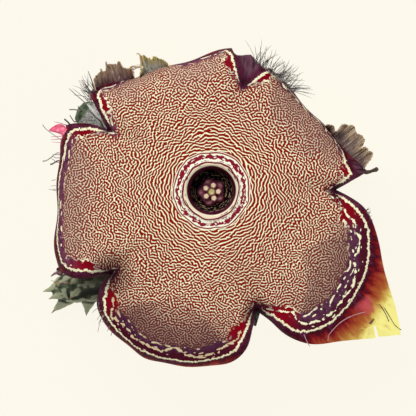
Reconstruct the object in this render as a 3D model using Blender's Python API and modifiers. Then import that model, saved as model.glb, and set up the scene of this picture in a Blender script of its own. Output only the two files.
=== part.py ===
"""Persian carpet flower (Edithcolea grandis), as picked with the short spiny stem tip that bore it.

Lengths are in millimetres and are turned to metres where a mesh is made.
+X is right and +Y is up as the flower is looked at from above, +Z is up, and the origin lies on the
resting surface under the axis of the flower's tube.

The corolla is one fleshy sheet. It is laid out flat first, as a tube, a disc and five lobes with a
cream line and a dark band round the margin, and every point is then carried over the folds that turn
the lobes under.
"""
import random
from collections import namedtuple
from math import atan2, cos, exp, radians, sin

import bmesh
import bpy
from mathutils import Matrix, Vector

MM = 0.001
SEAM = 0.000001          # metres, for welding points that are meant to be one
COLLECTION = "persian_carpet_flower"
GAP = 0.35               # between pieces that touch

Lobe = namedtuple("Lobe", "azimuth half_width reach lean")
Notch = namedtuple("Notch", "azimuth radius web")
Fold = namedtuple("Fold", "azimuth start radius angle")

# The sheet
DISC_HEIGHT = 31.0
WALL = 1.2
LOBES = (
    Lobe(34.4, 17.8, 60.0, 0.0),
    Lobe(112.4, 18.7, 60.6, 0.0),
    Lobe(184.6, 18.2, 61.0, 0.0),
    Lobe(253.6, 19.6, 58.5, 0.0),
    Lobe(325.3, 18.4, 64.6, -2.9),
)
# Notch k lies before lobe k, going round anticlockwise. A web is how far a pleat fills the notch.
NOTCHES = (
    Notch(0.3, 31.2, 0.0),
    Notch(73.4, 28.2, 8.0),
    Notch(149.5, 30.2, 0.0),
    Notch(219.7, 32.8, 0.0),
    Notch(290.7, 32.3, 0.0),
)
# Each fold turns what lies beyond its start under, round the radius and through the angle.
FOLDS = (
    Fold(42.6, 25.2, 6.5, 116.0),
    Fold(107.1, 26.3, 6.5, 116.0),
    Fold(177.5, 33.5, 5.0, 105.0),
    Fold(231.3, 38.8, 4.0, 52.0),
    Fold(267.0, 38.6, 5.5, 100.0),
    Fold(323.9, 36.0, 20.0, 45.0),
)
# Outline of a lobe from its tip to its notch: share of the way, reach along it, share of its half width.
# Past the shoulder the reach is stretched to the lobe's own.
MARGIN = ((0.0, 62.0, 0.0), (0.19, 55.0, 0.27), (0.41, 47.5, 0.55), (0.58, 41.5, 0.84), (0.74, 35.5, 1.0),
          (0.89, 29.5, 1.0))
SHOULDER, PLAIN_REACH = 38.0, 62.0
CREAM_LINE = ((0.0, 44.8, 0.0), (0.27, 43.2, 0.45), (0.56, 37.6, 0.84), (0.81, 30.0, 0.93))
LEAN_SPAN = (30.0, 47.0)  # where along a lobe its outer part swings aside
NOTCH_LIP = 2.0          # cream line to margin at a notch
# Inside of the tube and its raised mouth ring: radius, height over the disc
TUBE = ((0.0, -8.5), (2.6, -8.5), (4.3, -8.1), (5.3, -6.4), (5.8, -3.4), (6.05, -0.9), (6.35, 0.1), (6.8, 0.4),
        (7.35, 0.35), (7.9, 0.0))
DISC_ROWS = 13
BAND_ROWS = (0.12, 0.3, 0.5, 0.75, 1.0)
COLUMNS_PER_LOBE = 14
CREAM_RIDGE = 0.3
MARGIN_ROLL = 1.3
DOME, DOME_RADIUS = 0.9, 38.0
CREASE_DEPTH, CREASE_WIDTH, CREASE_START = 1.7, 2.4, 15.0
RIPPLE_HEIGHT, RIPPLE_PITCH, RIPPLE_PHASE = 0.35, 7.0, 0.8
RUFFLE_HEIGHT, RUFFLES = 0.5, 5

# Centre
CORONA_RADIUS, CORONA_HEIGHT, CORONA_SLOPE, CORONA_LOBING, CORONA_TURN = 3.25, 1.3, 0.5, 0.16, 37.4
COLUMN_RADII, COLUMN_HEIGHT = (1.5, 1.0), 1.1
KNOB_RADIUS, KNOB_RING, KNOB_TURN, KNOB_LIFT = 0.74, 1.72, 3.0, 0.85
PEDICEL_RADII = (2.6, 2.1)
RECEPTACLE_RADII, RECEPTACLE_HEIGHT = (3.0, 4.2), 1.4
# Middle line of a sepal: distance from the axis, drop below the disc. Then half its width there.
SEPAL_LINE = ((3.2, -10.9), (6.4, -10.7), (8.3, -8.6), (9.0, -6.0), (9.5, -3.6))
SEPAL_HALF_WIDTHS = (1.5, 1.9, 1.5, 0.9, 0.25)
SEPAL_WALL, SEPAL_CUP = 0.8, 0.08

# Stem: each shoot is a run of points with the half thickness there
HUB_RADIUS, HUB_HEIGHT = 7.0, 5.6
FURROW = 0.74            # depth of a furrow's floor, as a share of the ridge
GROWING_SHOOT = ((0, 0, 4.8, 6.2), (-13, -11, 4.8, 6.2), (-25, -20.5, 4.8, 6.0), (-33, -23.5, 5.0, 5.2),
                 (-38.2, -24.4, 5.2, 2.8), (-39.6, -24.8, 5.3, 1.2))
SIDE_SHOOT = ((0, 0, 4.7, 6.0), (-14, 9, 4.7, 5.8), (-26, 16.2, 4.7, 5.4), (-31.5, 19.4, 4.8, 4.6),
              (-35.5, 21.4, 5.0, 2.2))
CUT_SHOOT = ((0, 0, 4.8, 6.2), (6, -11, 4.8, 6.2), (12.5, -23.5, 4.8, 6.2))
DRIED_SHOOT = ((0, 0, 4.2, 4.0), (12, 0.2, 3.2, 3.6), (24, 1.6, 2.8, 3.1), (32, 4.6, 2.6, 2.7),
               (37.6, 5.0, 3.4, 1.5), (42.2, 5.7, 4.4, 0.8))
SHOOT_STEP = 4.2
TOOTH_SPACING, TOOTH_BASE, TOOTH_POINT, TOOTH_LENGTH = 6.5, 2.1, 0.28, 4.0
TOOTH_SINK = 0.62        # how far out a tooth's root lies, as a share of the ridge
LOWEST_TOOTH = 1.9       # height of the lower teeth's roots over the surface
# Long teeth round the growing tip: foot and point
TIP_TEETH = (
    ((-30.6, -25.5, 4.2), (-31.2, -31.6, 3.0)),
    ((-36.2, -26.0, 4.0), (-39.9, -30.8, 2.4)),
    ((-37.6, -24.6, 5.6), (-42.2, -25.6, 6.4)),
    ((-35.6, -21.6, 5.4), (-40.6, -20.6, 6.0)),
    ((-33.4, -24.0, 8.0), (-35.6, -26.6, 11.6)),
)

# Withered scraps that cling to the turned lobes: fold, distance out along the flap, stretch across it,
# and how far each torn strip stands out
SCRAP_WALL, SCRAP_RISE, SCRAP_CRUMPLE = 0.7, 3.6, 0.7
TOP_SCRAP = dict(fold=1, out=38.0, across=(1.5, 19.5),
                 reaches=(0.8, 2.0, 3.6, 4.0, 4.6, 1.6, 2.3, 2.4, 4.2, 4.3, 4.4, 2.8, 3.2, 1.6))
SIDE_SCRAP = dict(fold=0, out=36.5, across=(-20.5, -5.0),
                  reaches=(2.0, 4.0, 5.0, 5.0, 3.5, 5.2, 6.0, 5.6, 5.0, 2.0, 1.5, 1.0))

COLOURS = {
    "corolla": ((0.60, 0.24, 0.19), 0.55),
    "corona": ((0.20, 0.03, 0.06), 0.4),
    "gynostegium": ((0.86, 0.70, 0.58), 0.45),
    "calyx": ((0.36, 0.40, 0.22), 0.6),
    "stem": ((0.28, 0.34, 0.25), 0.6),
    "withered_scrap_top": ((0.30, 0.22, 0.18), 0.85),
    "withered_scrap_side": ((0.40, 0.31, 0.24), 0.85),
}


def ease(low, high, value):
    """0 below low, 1 above high and smooth between."""
    share = min(max((value - low) / (high - low), 0.0), 1.0)
    return share * share * (3 - 2 * share)


def heading(azimuth):
    return Vector((cos(radians(azimuth)), sin(radians(azimuth))))


def over_fold(fold, flat):
    """How far a fold moves a flat point along its heading, and how far down."""
    run = flat.dot(heading(fold.azimuth)) - fold.start
    if run <= 0:
        return 0.0, 0.0
    turn = min(run / fold.radius, radians(fold.angle))
    rest = run - turn * fold.radius
    reach = fold.radius * sin(turn) + rest * cos(turn)
    fall = fold.radius * (1 - cos(turn)) + rest * sin(turn)
    return reach - run, fall


def lay(flat, lift=0.0):
    """A point of the flat sheet, carried over the folds and into place."""
    place = flat.copy()
    height = DISC_HEIGHT + lift
    for fold in FOLDS:
        shift, fall = over_fold(fold, flat)
        place += shift * heading(fold.azimuth)
        height -= fall
    radius = flat.length
    height -= DOME * (min(radius, DOME_RADIUS) / DOME_RADIUS) ** 2
    for notch in NOTCHES:
        along = heading(notch.azimuth)
        off = abs(flat.x * along.y - flat.y * along.x) / CREASE_WIDTH
        height -= CREASE_DEPTH * exp(-off * off) * ease(CREASE_START, notch.radius, flat.dot(along))
    angle = atan2(flat.y, flat.x)
    swell = sin(3 * angle + RIPPLE_PHASE) * sin(radius / RIPPLE_PITCH)
    height += RIPPLE_HEIGHT * swell * ease(2 * RIPPLE_PITCH, 4 * RIPPLE_PITCH, radius)
    return Vector((place.x, place.y, height))


def along_curve(points, share):
    """Smooth curve through (share, reach, width) points."""
    last = len(points) - 1
    index = max(k for k in range(last) if points[k][0] <= share or k == 0)
    start, end = points[index], points[index + 1]
    span = end[0] - start[0]
    step = (share - start[0]) / span
    result = []
    for axis in (1, 2):
        before = points[max(index - 1, 0)]
        after = points[min(index + 2, last)]
        slope_in = (end[axis] - before[axis]) / (end[0] - before[0]) * span
        slope_out = (after[axis] - start[axis]) / (after[0] - start[0]) * span
        square, cube = step * step, step ** 3
        result.append((2 * cube - 3 * square + 1) * start[axis] + (cube - 2 * square + step) * slope_in
                      + (3 * square - 2 * cube) * end[axis] + (cube - square) * slope_out)
    return result


def guide(number, share, points, lip):
    """Flat point on a lobe's cream line or margin. Share runs from -1 at one notch to 1 at the next."""
    lobe = LOBES[number]
    side = 1 if share >= 0 else -1
    notch = NOTCHES[(number + 1) % 5] if side > 0 else NOTCHES[number]
    end = heading(notch.azimuth) * (notch.radius + (notch.web if lip == 0 else -lip))
    along = heading(lobe.azimuth)
    left = Vector((-along.y, along.x))
    stretch = (lobe.reach - SHOULDER) / (PLAIN_REACH - SHOULDER) if lip == 0 else 1.0
    curve = [(s, reach + max(reach - SHOULDER, 0) * (stretch - 1), width * lobe.half_width)
             for s, reach, width in points]
    curve.append((1.0, end.dot(along), side * end.dot(left)))
    reach, width = along_curve(curve, abs(share))
    return along * reach + left * (side * width + lobe.lean * ease(*LEAN_SPAN, reach))


def sheet_point(number, share, row):
    """Place of one point of the sheet's upper face. Row is (part, value)."""
    part, value = row
    start = NOTCHES[number].azimuth
    end = NOTCHES[(number + 1) % 5].azimuth + (360 if number == 4 else 0)
    ray = heading(start + (end - start) * (share + 1) / 2)
    if part == "tube":
        radius, lift = TUBE[value]
        return lay(ray * radius, lift)
    cream = guide(number, share, CREAM_LINE, NOTCH_LIP)
    if part == "disc":
        return lay((ray * TUBE[-1][0]).lerp(cream, value), CREAM_RIDGE if value == 1 else 0.0)
    margin = guide(number, share, MARGIN, 0)
    ruffle = RUFFLE_HEIGHT * sin(RUFFLES * 3 * share + number) * ease(0.0, 0.2, 1 - abs(share))
    return lay(cream.lerp(margin, value), (ruffle - MARGIN_ROLL * value) * value)


def all_rows():
    rows = [("tube", k) for k in range(len(TUBE))]
    rows += [("disc", (k + 1) / DISC_ROWS) for k in range(DISC_ROWS)]
    return rows + [("band", value) for value in BAND_ROWS]


def material(name):
    colour, roughness = COLOURS[name]
    result = bpy.data.materials.new(name)
    result.use_nodes = True
    shader = result.node_tree.nodes["Principled BSDF"]
    shader.inputs["Base Color"].default_value = (*colour, 1)
    shader.inputs["Roughness"].default_value = roughness
    return result


def add_object(name, mesh, collection):
    item = bpy.data.objects.new(name, mesh)
    collection.objects.link(item)
    return item


def finish(bm, name, collection):
    """Mesh in millimetres to a named object in metres, shaded smooth."""
    bmesh.ops.transform(bm, matrix=Matrix.Scale(MM, 4), verts=bm.verts)
    mesh = bpy.data.meshes.new(name)
    bm.to_mesh(mesh)
    bm.free()
    mesh.shade_smooth()
    mesh.set_sharp_from_angle(angle=radians(50))
    item = add_object(name, mesh, collection)
    if name in COLOURS:
        mesh.materials.append(material(name))
    return item


def solidify(item, wall, offset=-1.0):
    """Gives an open sheet its thickness. Its faces are triangles, so both sides split alike."""
    modifier = item.modifiers.new("thickness", "SOLIDIFY")
    modifier.thickness = wall * MM
    modifier.offset = offset
    return item


def upward_sheet(columns, rows, place):
    """A grid whose points are placed by a rule, welded at its seams, in triangles that face up."""
    bm = bmesh.new()
    bmesh.ops.create_grid(bm, x_segments=columns, y_segments=rows, size=0.5)
    for vert in bm.verts:
        column = round((vert.co.x + 0.5) * columns)
        row = round((vert.co.y + 0.5) * rows)
        vert.co = place(column, row)
    bmesh.ops.remove_doubles(bm, verts=bm.verts, dist=SEAM / MM)
    bmesh.ops.triangulate(bm, faces=bm.faces)
    bmesh.ops.recalc_face_normals(bm, faces=bm.faces)
    if sum(face.normal.z * face.calc_area() for face in bm.faces) < 0:
        bmesh.ops.reverse_faces(bm, faces=bm.faces)
    return bm


def build_corolla(parts):
    rows = all_rows()

    def place(column, row):
        number, step = divmod(column % (5 * COLUMNS_PER_LOBE), COLUMNS_PER_LOBE)
        return sheet_point(number, 2 * step / COLUMNS_PER_LOBE - 1, rows[row])

    bm = upward_sheet(5 * COLUMNS_PER_LOBE, len(rows) - 1, place)
    return solidify(finish(bm, "corolla", parts), WALL)


def union(name, pieces, parts):
    """Joins closed pieces into one object."""
    group = bpy.data.collections.new(name + "_pieces")
    for piece in pieces[1:]:
        group.objects.link(piece)
    body = pieces[0]
    modifier = body.modifiers.new("join", "BOOLEAN")
    modifier.operation = "UNION"
    modifier.operand_type = "COLLECTION"
    modifier.collection = group
    modifier.solver = "EXACT"
    return apply_to_new(name, body, pieces, group, parts)


def apply_to_new(name, body, pieces, group, parts):
    """Keeps the joined shape as a new object and removes what it was made of."""
    bpy.context.view_layer.update()
    evaluated = body.evaluated_get(bpy.context.evaluated_depsgraph_get())
    mesh = bpy.data.meshes.new_from_object(evaluated)
    mesh.name = name
    for piece in pieces:
        bpy.data.objects.remove(piece)
    if group:
        bpy.data.collections.remove(group)
    mesh.materials.clear()
    item = add_object(name, mesh, parts)
    if name in COLOURS:
        mesh.materials.append(material(name))
    mesh.shade_smooth()
    mesh.set_sharp_from_angle(angle=radians(50))
    return item


def cone_between(foot, point, foot_radius, point_radius, sides, name, scratch):
    """A closed cone from foot to point."""
    bm = bmesh.new()
    foot, point = Vector(foot), Vector(point)
    axis = point - foot
    turn = axis.to_track_quat("Z", "X").to_matrix().to_4x4()
    bmesh.ops.create_cone(bm, cap_ends=True, segments=sides, radius1=foot_radius, radius2=point_radius,
                          depth=axis.length, matrix=Matrix.Translation((foot + point) / 2) @ turn)
    return finish(bm, name, scratch)


def ball(centre, radii, name, scratch, across=10, down=6):
    bm = bmesh.new()
    bmesh.ops.create_uvsphere(bm, u_segments=across, v_segments=down, radius=1.0,
                              matrix=Matrix.Translation(centre) @ Matrix.Diagonal((*radii, 1)))
    return finish(bm, name, scratch)


def build_corona(parts):
    """The dark five-lobed disc on the tube's floor."""
    base = DISC_HEIGHT + TUBE[0][1] + GAP
    bm = bmesh.new()
    bmesh.ops.create_cone(bm, cap_ends=True, segments=30, radius1=CORONA_RADIUS,
                          radius2=CORONA_RADIUS - CORONA_SLOPE, depth=CORONA_HEIGHT,
                          matrix=Matrix.Translation((0, 0, base + CORONA_HEIGHT / 2)))
    for vert in bm.verts:
        swell = 1 + CORONA_LOBING * cos(5 * (atan2(vert.co.y, vert.co.x) - radians(CORONA_TURN)))
        vert.co.x *= swell
        vert.co.y *= swell
    return finish(bm, "corona", parts)


def build_gynostegium(parts, scratch):
    """The pale column with five knobs, which point to the notches."""
    base = DISC_HEIGHT + TUBE[0][1] + 2 * GAP + CORONA_HEIGHT
    pieces = [cone_between((0, 0, base), (0, 0, base + COLUMN_HEIGHT), *COLUMN_RADII, 15, "column", scratch)]
    for number in range(5):
        spot = heading(KNOB_TURN + 72 * number) * KNOB_RING
        pieces.append(ball((spot.x, spot.y, base + KNOB_LIFT), (KNOB_RADIUS,) * 3, "knob", scratch))
    return union("gynostegium", pieces, parts)


def build_calyx(parts, scratch):
    """Pedicel, receptacle and five sepals under the tube."""
    tube_foot = DISC_HEIGHT + TUBE[0][1] - WALL - GAP
    stem_top = HUB_HEIGHT + HUB_RADIUS + GAP
    seat = tube_foot - RECEPTACLE_HEIGHT
    pieces = [cone_between((0, 0, seat), (0, 0, tube_foot), *RECEPTACLE_RADII, 15, "receptacle", scratch),
              cone_between((0, 0, stem_top), (0, 0, seat + GAP), *PEDICEL_RADII, 13, "pedicel", scratch)]
    for number in range(5):
        pieces.append(build_sepal(NOTCHES[number].azimuth, scratch))
    return union("calyx", pieces, parts)


def build_sepal(azimuth, scratch):
    along = heading(azimuth)
    left = Vector((-along.y, along.x))
    columns = 2

    def place(column, row):
        radius, drop = SEPAL_LINE[row]
        off = (column / columns * 2 - 1) * SEPAL_HALF_WIDTHS[row]
        flat = along * (radius - SEPAL_CUP * off * off) + left * off
        return Vector((flat.x, flat.y, DISC_HEIGHT + drop))

    bm = upward_sheet(columns, len(SEPAL_LINE) - 1, place)
    return solidify(finish(bm, "sepal", scratch), SEPAL_WALL)


def shoot(name, points, section, scratch):
    """A ridged shoot along its points, closed at both ends."""
    curve = bpy.data.curves.new(name, "CURVE")
    curve.dimensions = "3D"
    curve.twist_mode = "Z_UP"
    curve.bevel_mode = "OBJECT"
    curve.bevel_object = section
    curve.use_fill_caps = True
    spline = curve.splines.new("POLY")
    spline.points.add(len(points) - 1)
    for knot, (x, y, z, thickness) in zip(spline.points, points):
        knot.co = (x * MM, y * MM, z * MM, 1)
        knot.radius = thickness
    item = add_object(name, curve, scratch)
    bpy.context.view_layer.update()
    mesh = bpy.data.meshes.new_from_object(item.evaluated_get(bpy.context.evaluated_depsgraph_get()))
    bpy.data.objects.remove(item)
    bm = bmesh.new()
    bm.from_mesh(mesh)
    bmesh.ops.remove_doubles(bm, verts=bm.verts, dist=SEAM)
    bmesh.ops.recalc_face_normals(bm, faces=bm.faces)
    bm.to_mesh(mesh)
    bm.free()
    return add_object(name, mesh, scratch)


def fine_points(points):
    """Points at an even step along a smooth curve through a shoot's points."""
    knots = [Vector(point) for point in points]
    fine = []
    for index in range(len(knots) - 1):
        start, end = knots[index], knots[index + 1]
        before = knots[max(index - 1, 0)]
        after = knots[min(index + 2, len(knots) - 1)]
        count = max(2, round((end - start).length / SHOOT_STEP))
        for number in range(count):
            share = number / count
            square, cube = share ** 2, share ** 3
            fine.append((2 * cube - 3 * square + 1) * start + (cube - 2 * square + share) * (end - before) / 2
                        + (3 * square - 2 * cube) * end + (cube - square) * (after - start) / 2)
    return fine + [knots[-1]]


def ridge_section(scratch):
    """Five ridges and five furrows across a shoot, with a furrow below."""
    curve = bpy.data.curves.new("ridges", "CURVE")
    curve.dimensions = "2D"
    spline = curve.splines.new("POLY")
    spline.points.add(9)
    spline.use_cyclic_u = True
    for number, knot in enumerate(spline.points):
        angle = radians(90 + 36 * number)
        radius = MM * (1.0 if number % 2 == 0 else FURROW)
        knot.co = (radius * cos(angle), radius * sin(angle), 0, 1)
    item = add_object("ridges", curve, scratch)
    item.hide_render = True
    item.display_type = "WIRE"
    return item


def teeth(points, start, stop, rng, scratch):
    """Hard teeth on the ridges of a shoot, leaning to its tip."""
    result = []
    run = 0.0
    due = start
    for before, after in zip(points, points[1:]):
        run += (after - before).length
        if run < due or run > stop:
            continue
        due += TOOTH_SPACING
        along = (after - before).to_3d().normalized()
        side = Vector((-along.y, along.x, 0)).normalized()
        for number in range(5):
            angle = radians(90 + 72 * number)
            out = side * cos(angle) + Vector((0, 0, sin(angle)))
            if out.z < 0:
                out = (out * Vector((1, 1, 0.15))).normalized()
            thickness = after.w
            lean = (out + along * rng.uniform(0.35, 0.6)).normalized()
            root = after.to_3d() + out * thickness * TOOTH_SINK
            if sin(angle) < 0:
                root.z = max(after.z - thickness / 2, LOWEST_TOOTH)
            length = TOOTH_LENGTH * rng.uniform(0.8, 1.1)
            point = root + lean * (length + thickness * (1 - TOOTH_SINK))
            result.append(cone_between(root, point, TOOTH_BASE, TOOTH_POINT, 5, "tooth", scratch))
    return result


def build_stem(parts, scratch):
    """Short piece of branched stem with a flat rest face under its hub."""
    rng = random.Random(7)
    section = ridge_section(scratch)
    growing, side, cut, dried = (fine_points(points)
                                 for points in (GROWING_SHOOT, SIDE_SHOOT, CUT_SHOOT, DRIED_SHOOT))
    pieces = [ball((0, 0, HUB_HEIGHT), (HUB_RADIUS,) * 3, "hub", scratch, 20, 12)]
    for points in (growing, side, cut, dried):
        pieces.append(shoot("shoot", points, section, scratch))
    pieces += teeth(growing, 10.0, 34.0, rng, scratch)
    pieces += teeth(side, 10.0, 36.0, rng, scratch)
    pieces += teeth(cut, 10.0, 24.0, rng, scratch)
    for foot, point in TIP_TEETH:
        pieces.append(cone_between(foot, point, TOOTH_BASE, TOOTH_POINT, 6, "tip_tooth", scratch))
    stem = union("stem", pieces, parts)
    bpy.data.objects.remove(section)
    return level_underside(stem)


def level_underside(item):
    """Cuts what lies below the resting surface, and closes the cut."""
    bm = bmesh.new()
    bm.from_mesh(item.data)
    everything = [*bm.verts, *bm.edges, *bm.faces]
    cut = bmesh.ops.bisect_plane(bm, geom=everything, dist=SEAM, plane_co=(0, 0, 0), plane_no=(0, 0, -1),
                                 clear_outer=True)
    edges = [edge for edge in cut["geom_cut"] if isinstance(edge, bmesh.types.BMEdge)]
    bmesh.ops.triangle_fill(bm, edges=edges, use_beauty=True, normal=(0, 0, -1))
    bmesh.ops.triangulate(bm, faces=[face for face in bm.faces if len(face.verts) > 3])
    bmesh.ops.recalc_face_normals(bm, faces=bm.faces)
    bm.to_mesh(item.data)
    bm.free()
    return item


def build_scrap(name, parts, fold, out, across, reaches):
    """A torn, crumpled sheet whose foot clings to a turned lobe's outer face."""
    along = heading(FOLDS[fold].azimuth)
    left = Vector((-along.y, along.x))
    strips = len(reaches) - 1
    columns = strips * 2
    rows = 3

    def place(column, row):
        off = across[0] + (across[1] - across[0]) * column / columns
        flat = along * out + left * off
        foot = lay(flat)
        near = lay(along * (out + 0.5) + left * off)
        slope = (near - foot).normalized()
        facing = Vector((*left, 0)).cross(slope)
        facing *= 1 if facing.dot(Vector((*along, 0))) > 0 else -1
        foot = foot + facing * (GAP + SCRAP_WALL)
        reach = reaches[column // 2] if column % 2 == 0 else min(reaches[column // 2], reaches[column // 2 + 1])
        share = row / rows
        crumple = SCRAP_CRUMPLE * sin(2.3 * column + fold) * share
        step = Vector((along.x, along.y, 0)) * reach * share
        return foot + step + Vector((0, 0, SCRAP_RISE * share * share + crumple))

    bm = upward_sheet(columns, rows, place)
    return solidify(finish(bm, name, parts), SCRAP_WALL, 0.0)


def main():
    for item in list(bpy.data.objects):
        bpy.data.objects.remove(item)
    parts = bpy.data.collections.new(COLLECTION)
    scratch = bpy.data.collections.new("cutters")
    for collection in (parts, scratch):
        bpy.context.scene.collection.children.link(collection)
    build_corolla(parts)
    build_corona(parts)
    build_gynostegium(parts, scratch)
    build_calyx(parts, scratch)
    build_stem(parts, scratch)
    build_scrap("withered_scrap_top", parts, **TOP_SCRAP)
    build_scrap("withered_scrap_side", parts, **SIDE_SCRAP)


main()
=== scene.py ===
"""Persian carpet flower (Edithcolea grandis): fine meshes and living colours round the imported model.

Lengths are in millimetres until a mesh is made. +X is right and +Y up as the flower is looked at from
above, +Z is up, and the origin lies on the resting surface under the flower's tube.
"""

import random
from collections import namedtuple
from functools import partial
from math import cos, pi, radians, sin

import bpy
import numpy as np
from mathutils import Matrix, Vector


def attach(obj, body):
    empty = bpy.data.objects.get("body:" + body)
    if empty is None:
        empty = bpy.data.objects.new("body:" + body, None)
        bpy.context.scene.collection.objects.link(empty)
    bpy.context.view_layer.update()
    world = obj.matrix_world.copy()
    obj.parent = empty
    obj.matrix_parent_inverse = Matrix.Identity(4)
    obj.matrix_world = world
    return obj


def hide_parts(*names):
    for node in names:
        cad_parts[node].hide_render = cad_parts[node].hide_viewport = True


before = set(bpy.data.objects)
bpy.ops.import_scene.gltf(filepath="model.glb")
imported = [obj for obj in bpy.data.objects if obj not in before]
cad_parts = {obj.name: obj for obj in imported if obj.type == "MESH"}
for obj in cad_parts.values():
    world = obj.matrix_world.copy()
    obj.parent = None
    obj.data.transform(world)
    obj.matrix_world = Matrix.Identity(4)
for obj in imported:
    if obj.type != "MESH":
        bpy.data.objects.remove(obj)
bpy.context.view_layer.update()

bl_info = {
    "name": "Persian carpet flower",
    "version": (1, 0, 0),
    "blender": (4, 5, 0),
    "location": "3D View > Sidebar > Flower",
    "description": "Builds the fine meshes and materials of a persian carpet flower",
    "category": "Add Mesh",
}

MM = 0.001
SEAM = 0.000001          # metres within which points are merged
GAP = 0.35               # between pieces that stand in each other
CLEARANCE = 0.2          # between a turned lobe and the resting surface
SMOOTH_ANGLE = 50.0      # degrees up to which an edge is shaded smooth

Lobe = namedtuple("Lobe", "azimuth half_width reach lean dusk band far thread pull trim")
Notch = namedtuple("Notch", "azimuth radius web shade")
Fold = namedtuple("Fold", "azimuth start radius angle")

# The sheet, as the imported model has it. The dulling (dusk) is how dull and purple a lobe's carpet turns to its rim,
# from how far in: partly the lobe's own colour and partly painted shade on the lower lobes, which face away from the
# light. Band is the width of the solid purple inside its cream line. Thread is how much of that line shows in the
# middle of the lobe. Pull draws it in, and trim the margin, where the lobe turns under: share of the way round the
# lobe, millimetres.
DISC_HEIGHT = 31.0
SECTOR = 72              # degrees from one lobe to the next
LOBE_BLEND = 7           # degrees beside a notch over which one lobe's look turns into the next one's
WALL = 1.2
LOBES = (
    Lobe(34.4, 17.8, 60.0, 0.0, 0.35, 0.8, 15.0, 0.4,
         ((-0.8, 0.0), (-0.7, 2.2), (-0.6, 5.2), (-0.5, 7.4), (-0.43, 8.0), (-0.29, 8.3), (-0.14, 10.2), (0.0, 9.8),
          (0.1, 10.8), (0.29, 10.9), (0.39, 10.2), (0.47, 8.0), (0.56, 7.5), (0.7, 3.9), (0.81, 0.7), (1.0, 0.0)),
         ((0.0, 0.0),)),
    Lobe(112.4, 18.7, 60.6, 0.0, 0.0, 0.8, 12.0, 0.0,
         ((-0.8, 0.0), (-0.7, 1.5), (-0.56, 5.2), (-0.4, 8.4), (-0.27, 9.9), (-0.2, 10.2), (-0.08, 6.0), (0.25, 5.5),
          (0.4, 6.1), (0.47, 4.7), (0.56, 2.3), (0.75, 0.0)), ((0.0, 0.0),)),
    Lobe(184.6, 19.2, 61.0, 0.3, 0.15, 1.7, 14.0, 0.8,
         ((-0.72, 0.0), (-0.56, 2.8), (-0.4, 4.6), (-0.27, 5.4), (0.0, 5.2), (0.27, 3.0), (0.4, 1.5), (0.5, 0.0)),
         ((-0.74, 0.0), (-0.66, 3.6), (-0.45, 4.5), (-0.2, 0.0))),
    Lobe(253.6, 19.6, 58.5, 0.0, 1.0, 3.6, 19.0, 1.0,
         ((-0.7, 0.0), (-0.4, 0.5), (0.4, 0.6), (0.7, 0.0)), ((0.0, 0.0),)),
    Lobe(325.3, 18.4, 64.6, -2.9, 0.75, 4.6, 24.0, 1.0, ((0.0, 0.0),),
         ((-0.03, 0.0), (0.06, -0.9), (0.2, -1.2), (0.35, -0.5), (0.5, 0.0))),
)
# Notch k lies before lobe k, going round anticlockwise. A web is how far a pleat fills the notch, and shade is how
# large the painted shade of the dark hollow at its tip is.
NOTCHES = (
    Notch(0.3, 31.2, 0.0, 0.55),
    Notch(73.4, 28.2, 8.0, 0.5),
    Notch(149.5, 30.2, 0.0, 0.4),
    Notch(219.7, 32.8, 0.0, 1.5),
    Notch(290.7, 32.3, 0.0, 1.0),
)
FOLDS = (
    Fold(42.6, 25.2, 6.5, 116.0),
    Fold(107.1, 26.3, 6.5, 116.0),
    Fold(177.5, 33.5, 5.0, 105.0),
    Fold(225.0, 38.0, 4.5, 85.0),
    Fold(267.0, 38.6, 5.5, 100.0),
    Fold(323.9, 36.0, 20.0, 45.0),
)
# Outline of a lobe from its tip to its notch: share of the way, reach along it, share of its half width
MARGIN = ((0.0, 62.0, 0.0), (0.19, 55.0, 0.27), (0.41, 47.5, 0.55), (0.58, 41.5, 0.84), (0.74, 35.5, 1.0),
          (0.89, 29.5, 1.0))
SHOULDER, PLAIN_REACH = 38.0, 62.0
CREAM_LINE = ((0.0, 44.8, 0.0), (0.27, 43.2, 0.45), (0.56, 37.6, 0.84), (0.81, 30.0, 0.93))
LEAN_SPAN = (30.0, 47.0)
NOTCH_LIP = 2.0
TUBE = ((0.0, -8.5), (2.6, -8.5), (4.3, -8.1), (5.3, -6.4), (5.8, -3.4), (6.05, -0.9), (6.35, 0.1), (6.8, 0.4),
        (7.35, 0.35), (7.9, 0.0))
CREAM_RIDGE, MARGIN_ROLL = 0.3, 1.3
DOME, DOME_RADIUS = 0.9, 38.0
CREASE_DEPTH, CREASE_WIDTH, CREASE_START = 1.7, 2.4, 15.0
RIPPLE_HEIGHT, RIPPLE_PITCH, RIPPLE_PHASE = 0.35, 7.0, 0.8
RUFFLE_HEIGHT, RUFFLES = 0.5, 5
SWAY, SWAY_PITCH = 0.3, 2.3     # how a fold's line wavers

# How finely the sheet is cut
COLUMNS_PER_LOBE = 60
TUBE_ROWS, DISC_ROWS, BAND_ROWS = 26, 62, 30
THIN_EDGE = 0.45         # thickness at the margin, as a share of the wall
RIM_STEPS = 160          # steps along each lobe's cream line where distances to it are taken
RIM_SHIFT = 0.4          # half such a step at most
TEAR = ((40.3, -32.0), (41.5, -36.7))
TEAR_WIDTH = 0.8

# Its skin: radii of the rings round the mouth, and places on the sheet
WAVES = 1.9                          # waves in one cell of the carpet's pattern
THROAT, LIP_END, LIP_LINE, FAINT_LINE, MAROON_RING = 6.13, 7.0, 7.1, 7.5, 8.42
CARPET_START, FIRST_LINE, RINGS_END = 9.0, 9.45, 9.8
SOLID_PATCH = (-33.4, -19.6, 0.0)    # purple without carpet, on the left lobe
BLUSH_SPOT = (38.6, -28.9, 0.0)      # pink, near the torn tip
LIT_WAY = (0.1, -0.14, 0.0)          # lit side of the tube, where its pale dashes are painted brightest as glints
LEVEL = (1.0, 1.0, 0.0)              # leaves out a place's height
BUMP_FILTER = 0.1

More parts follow.
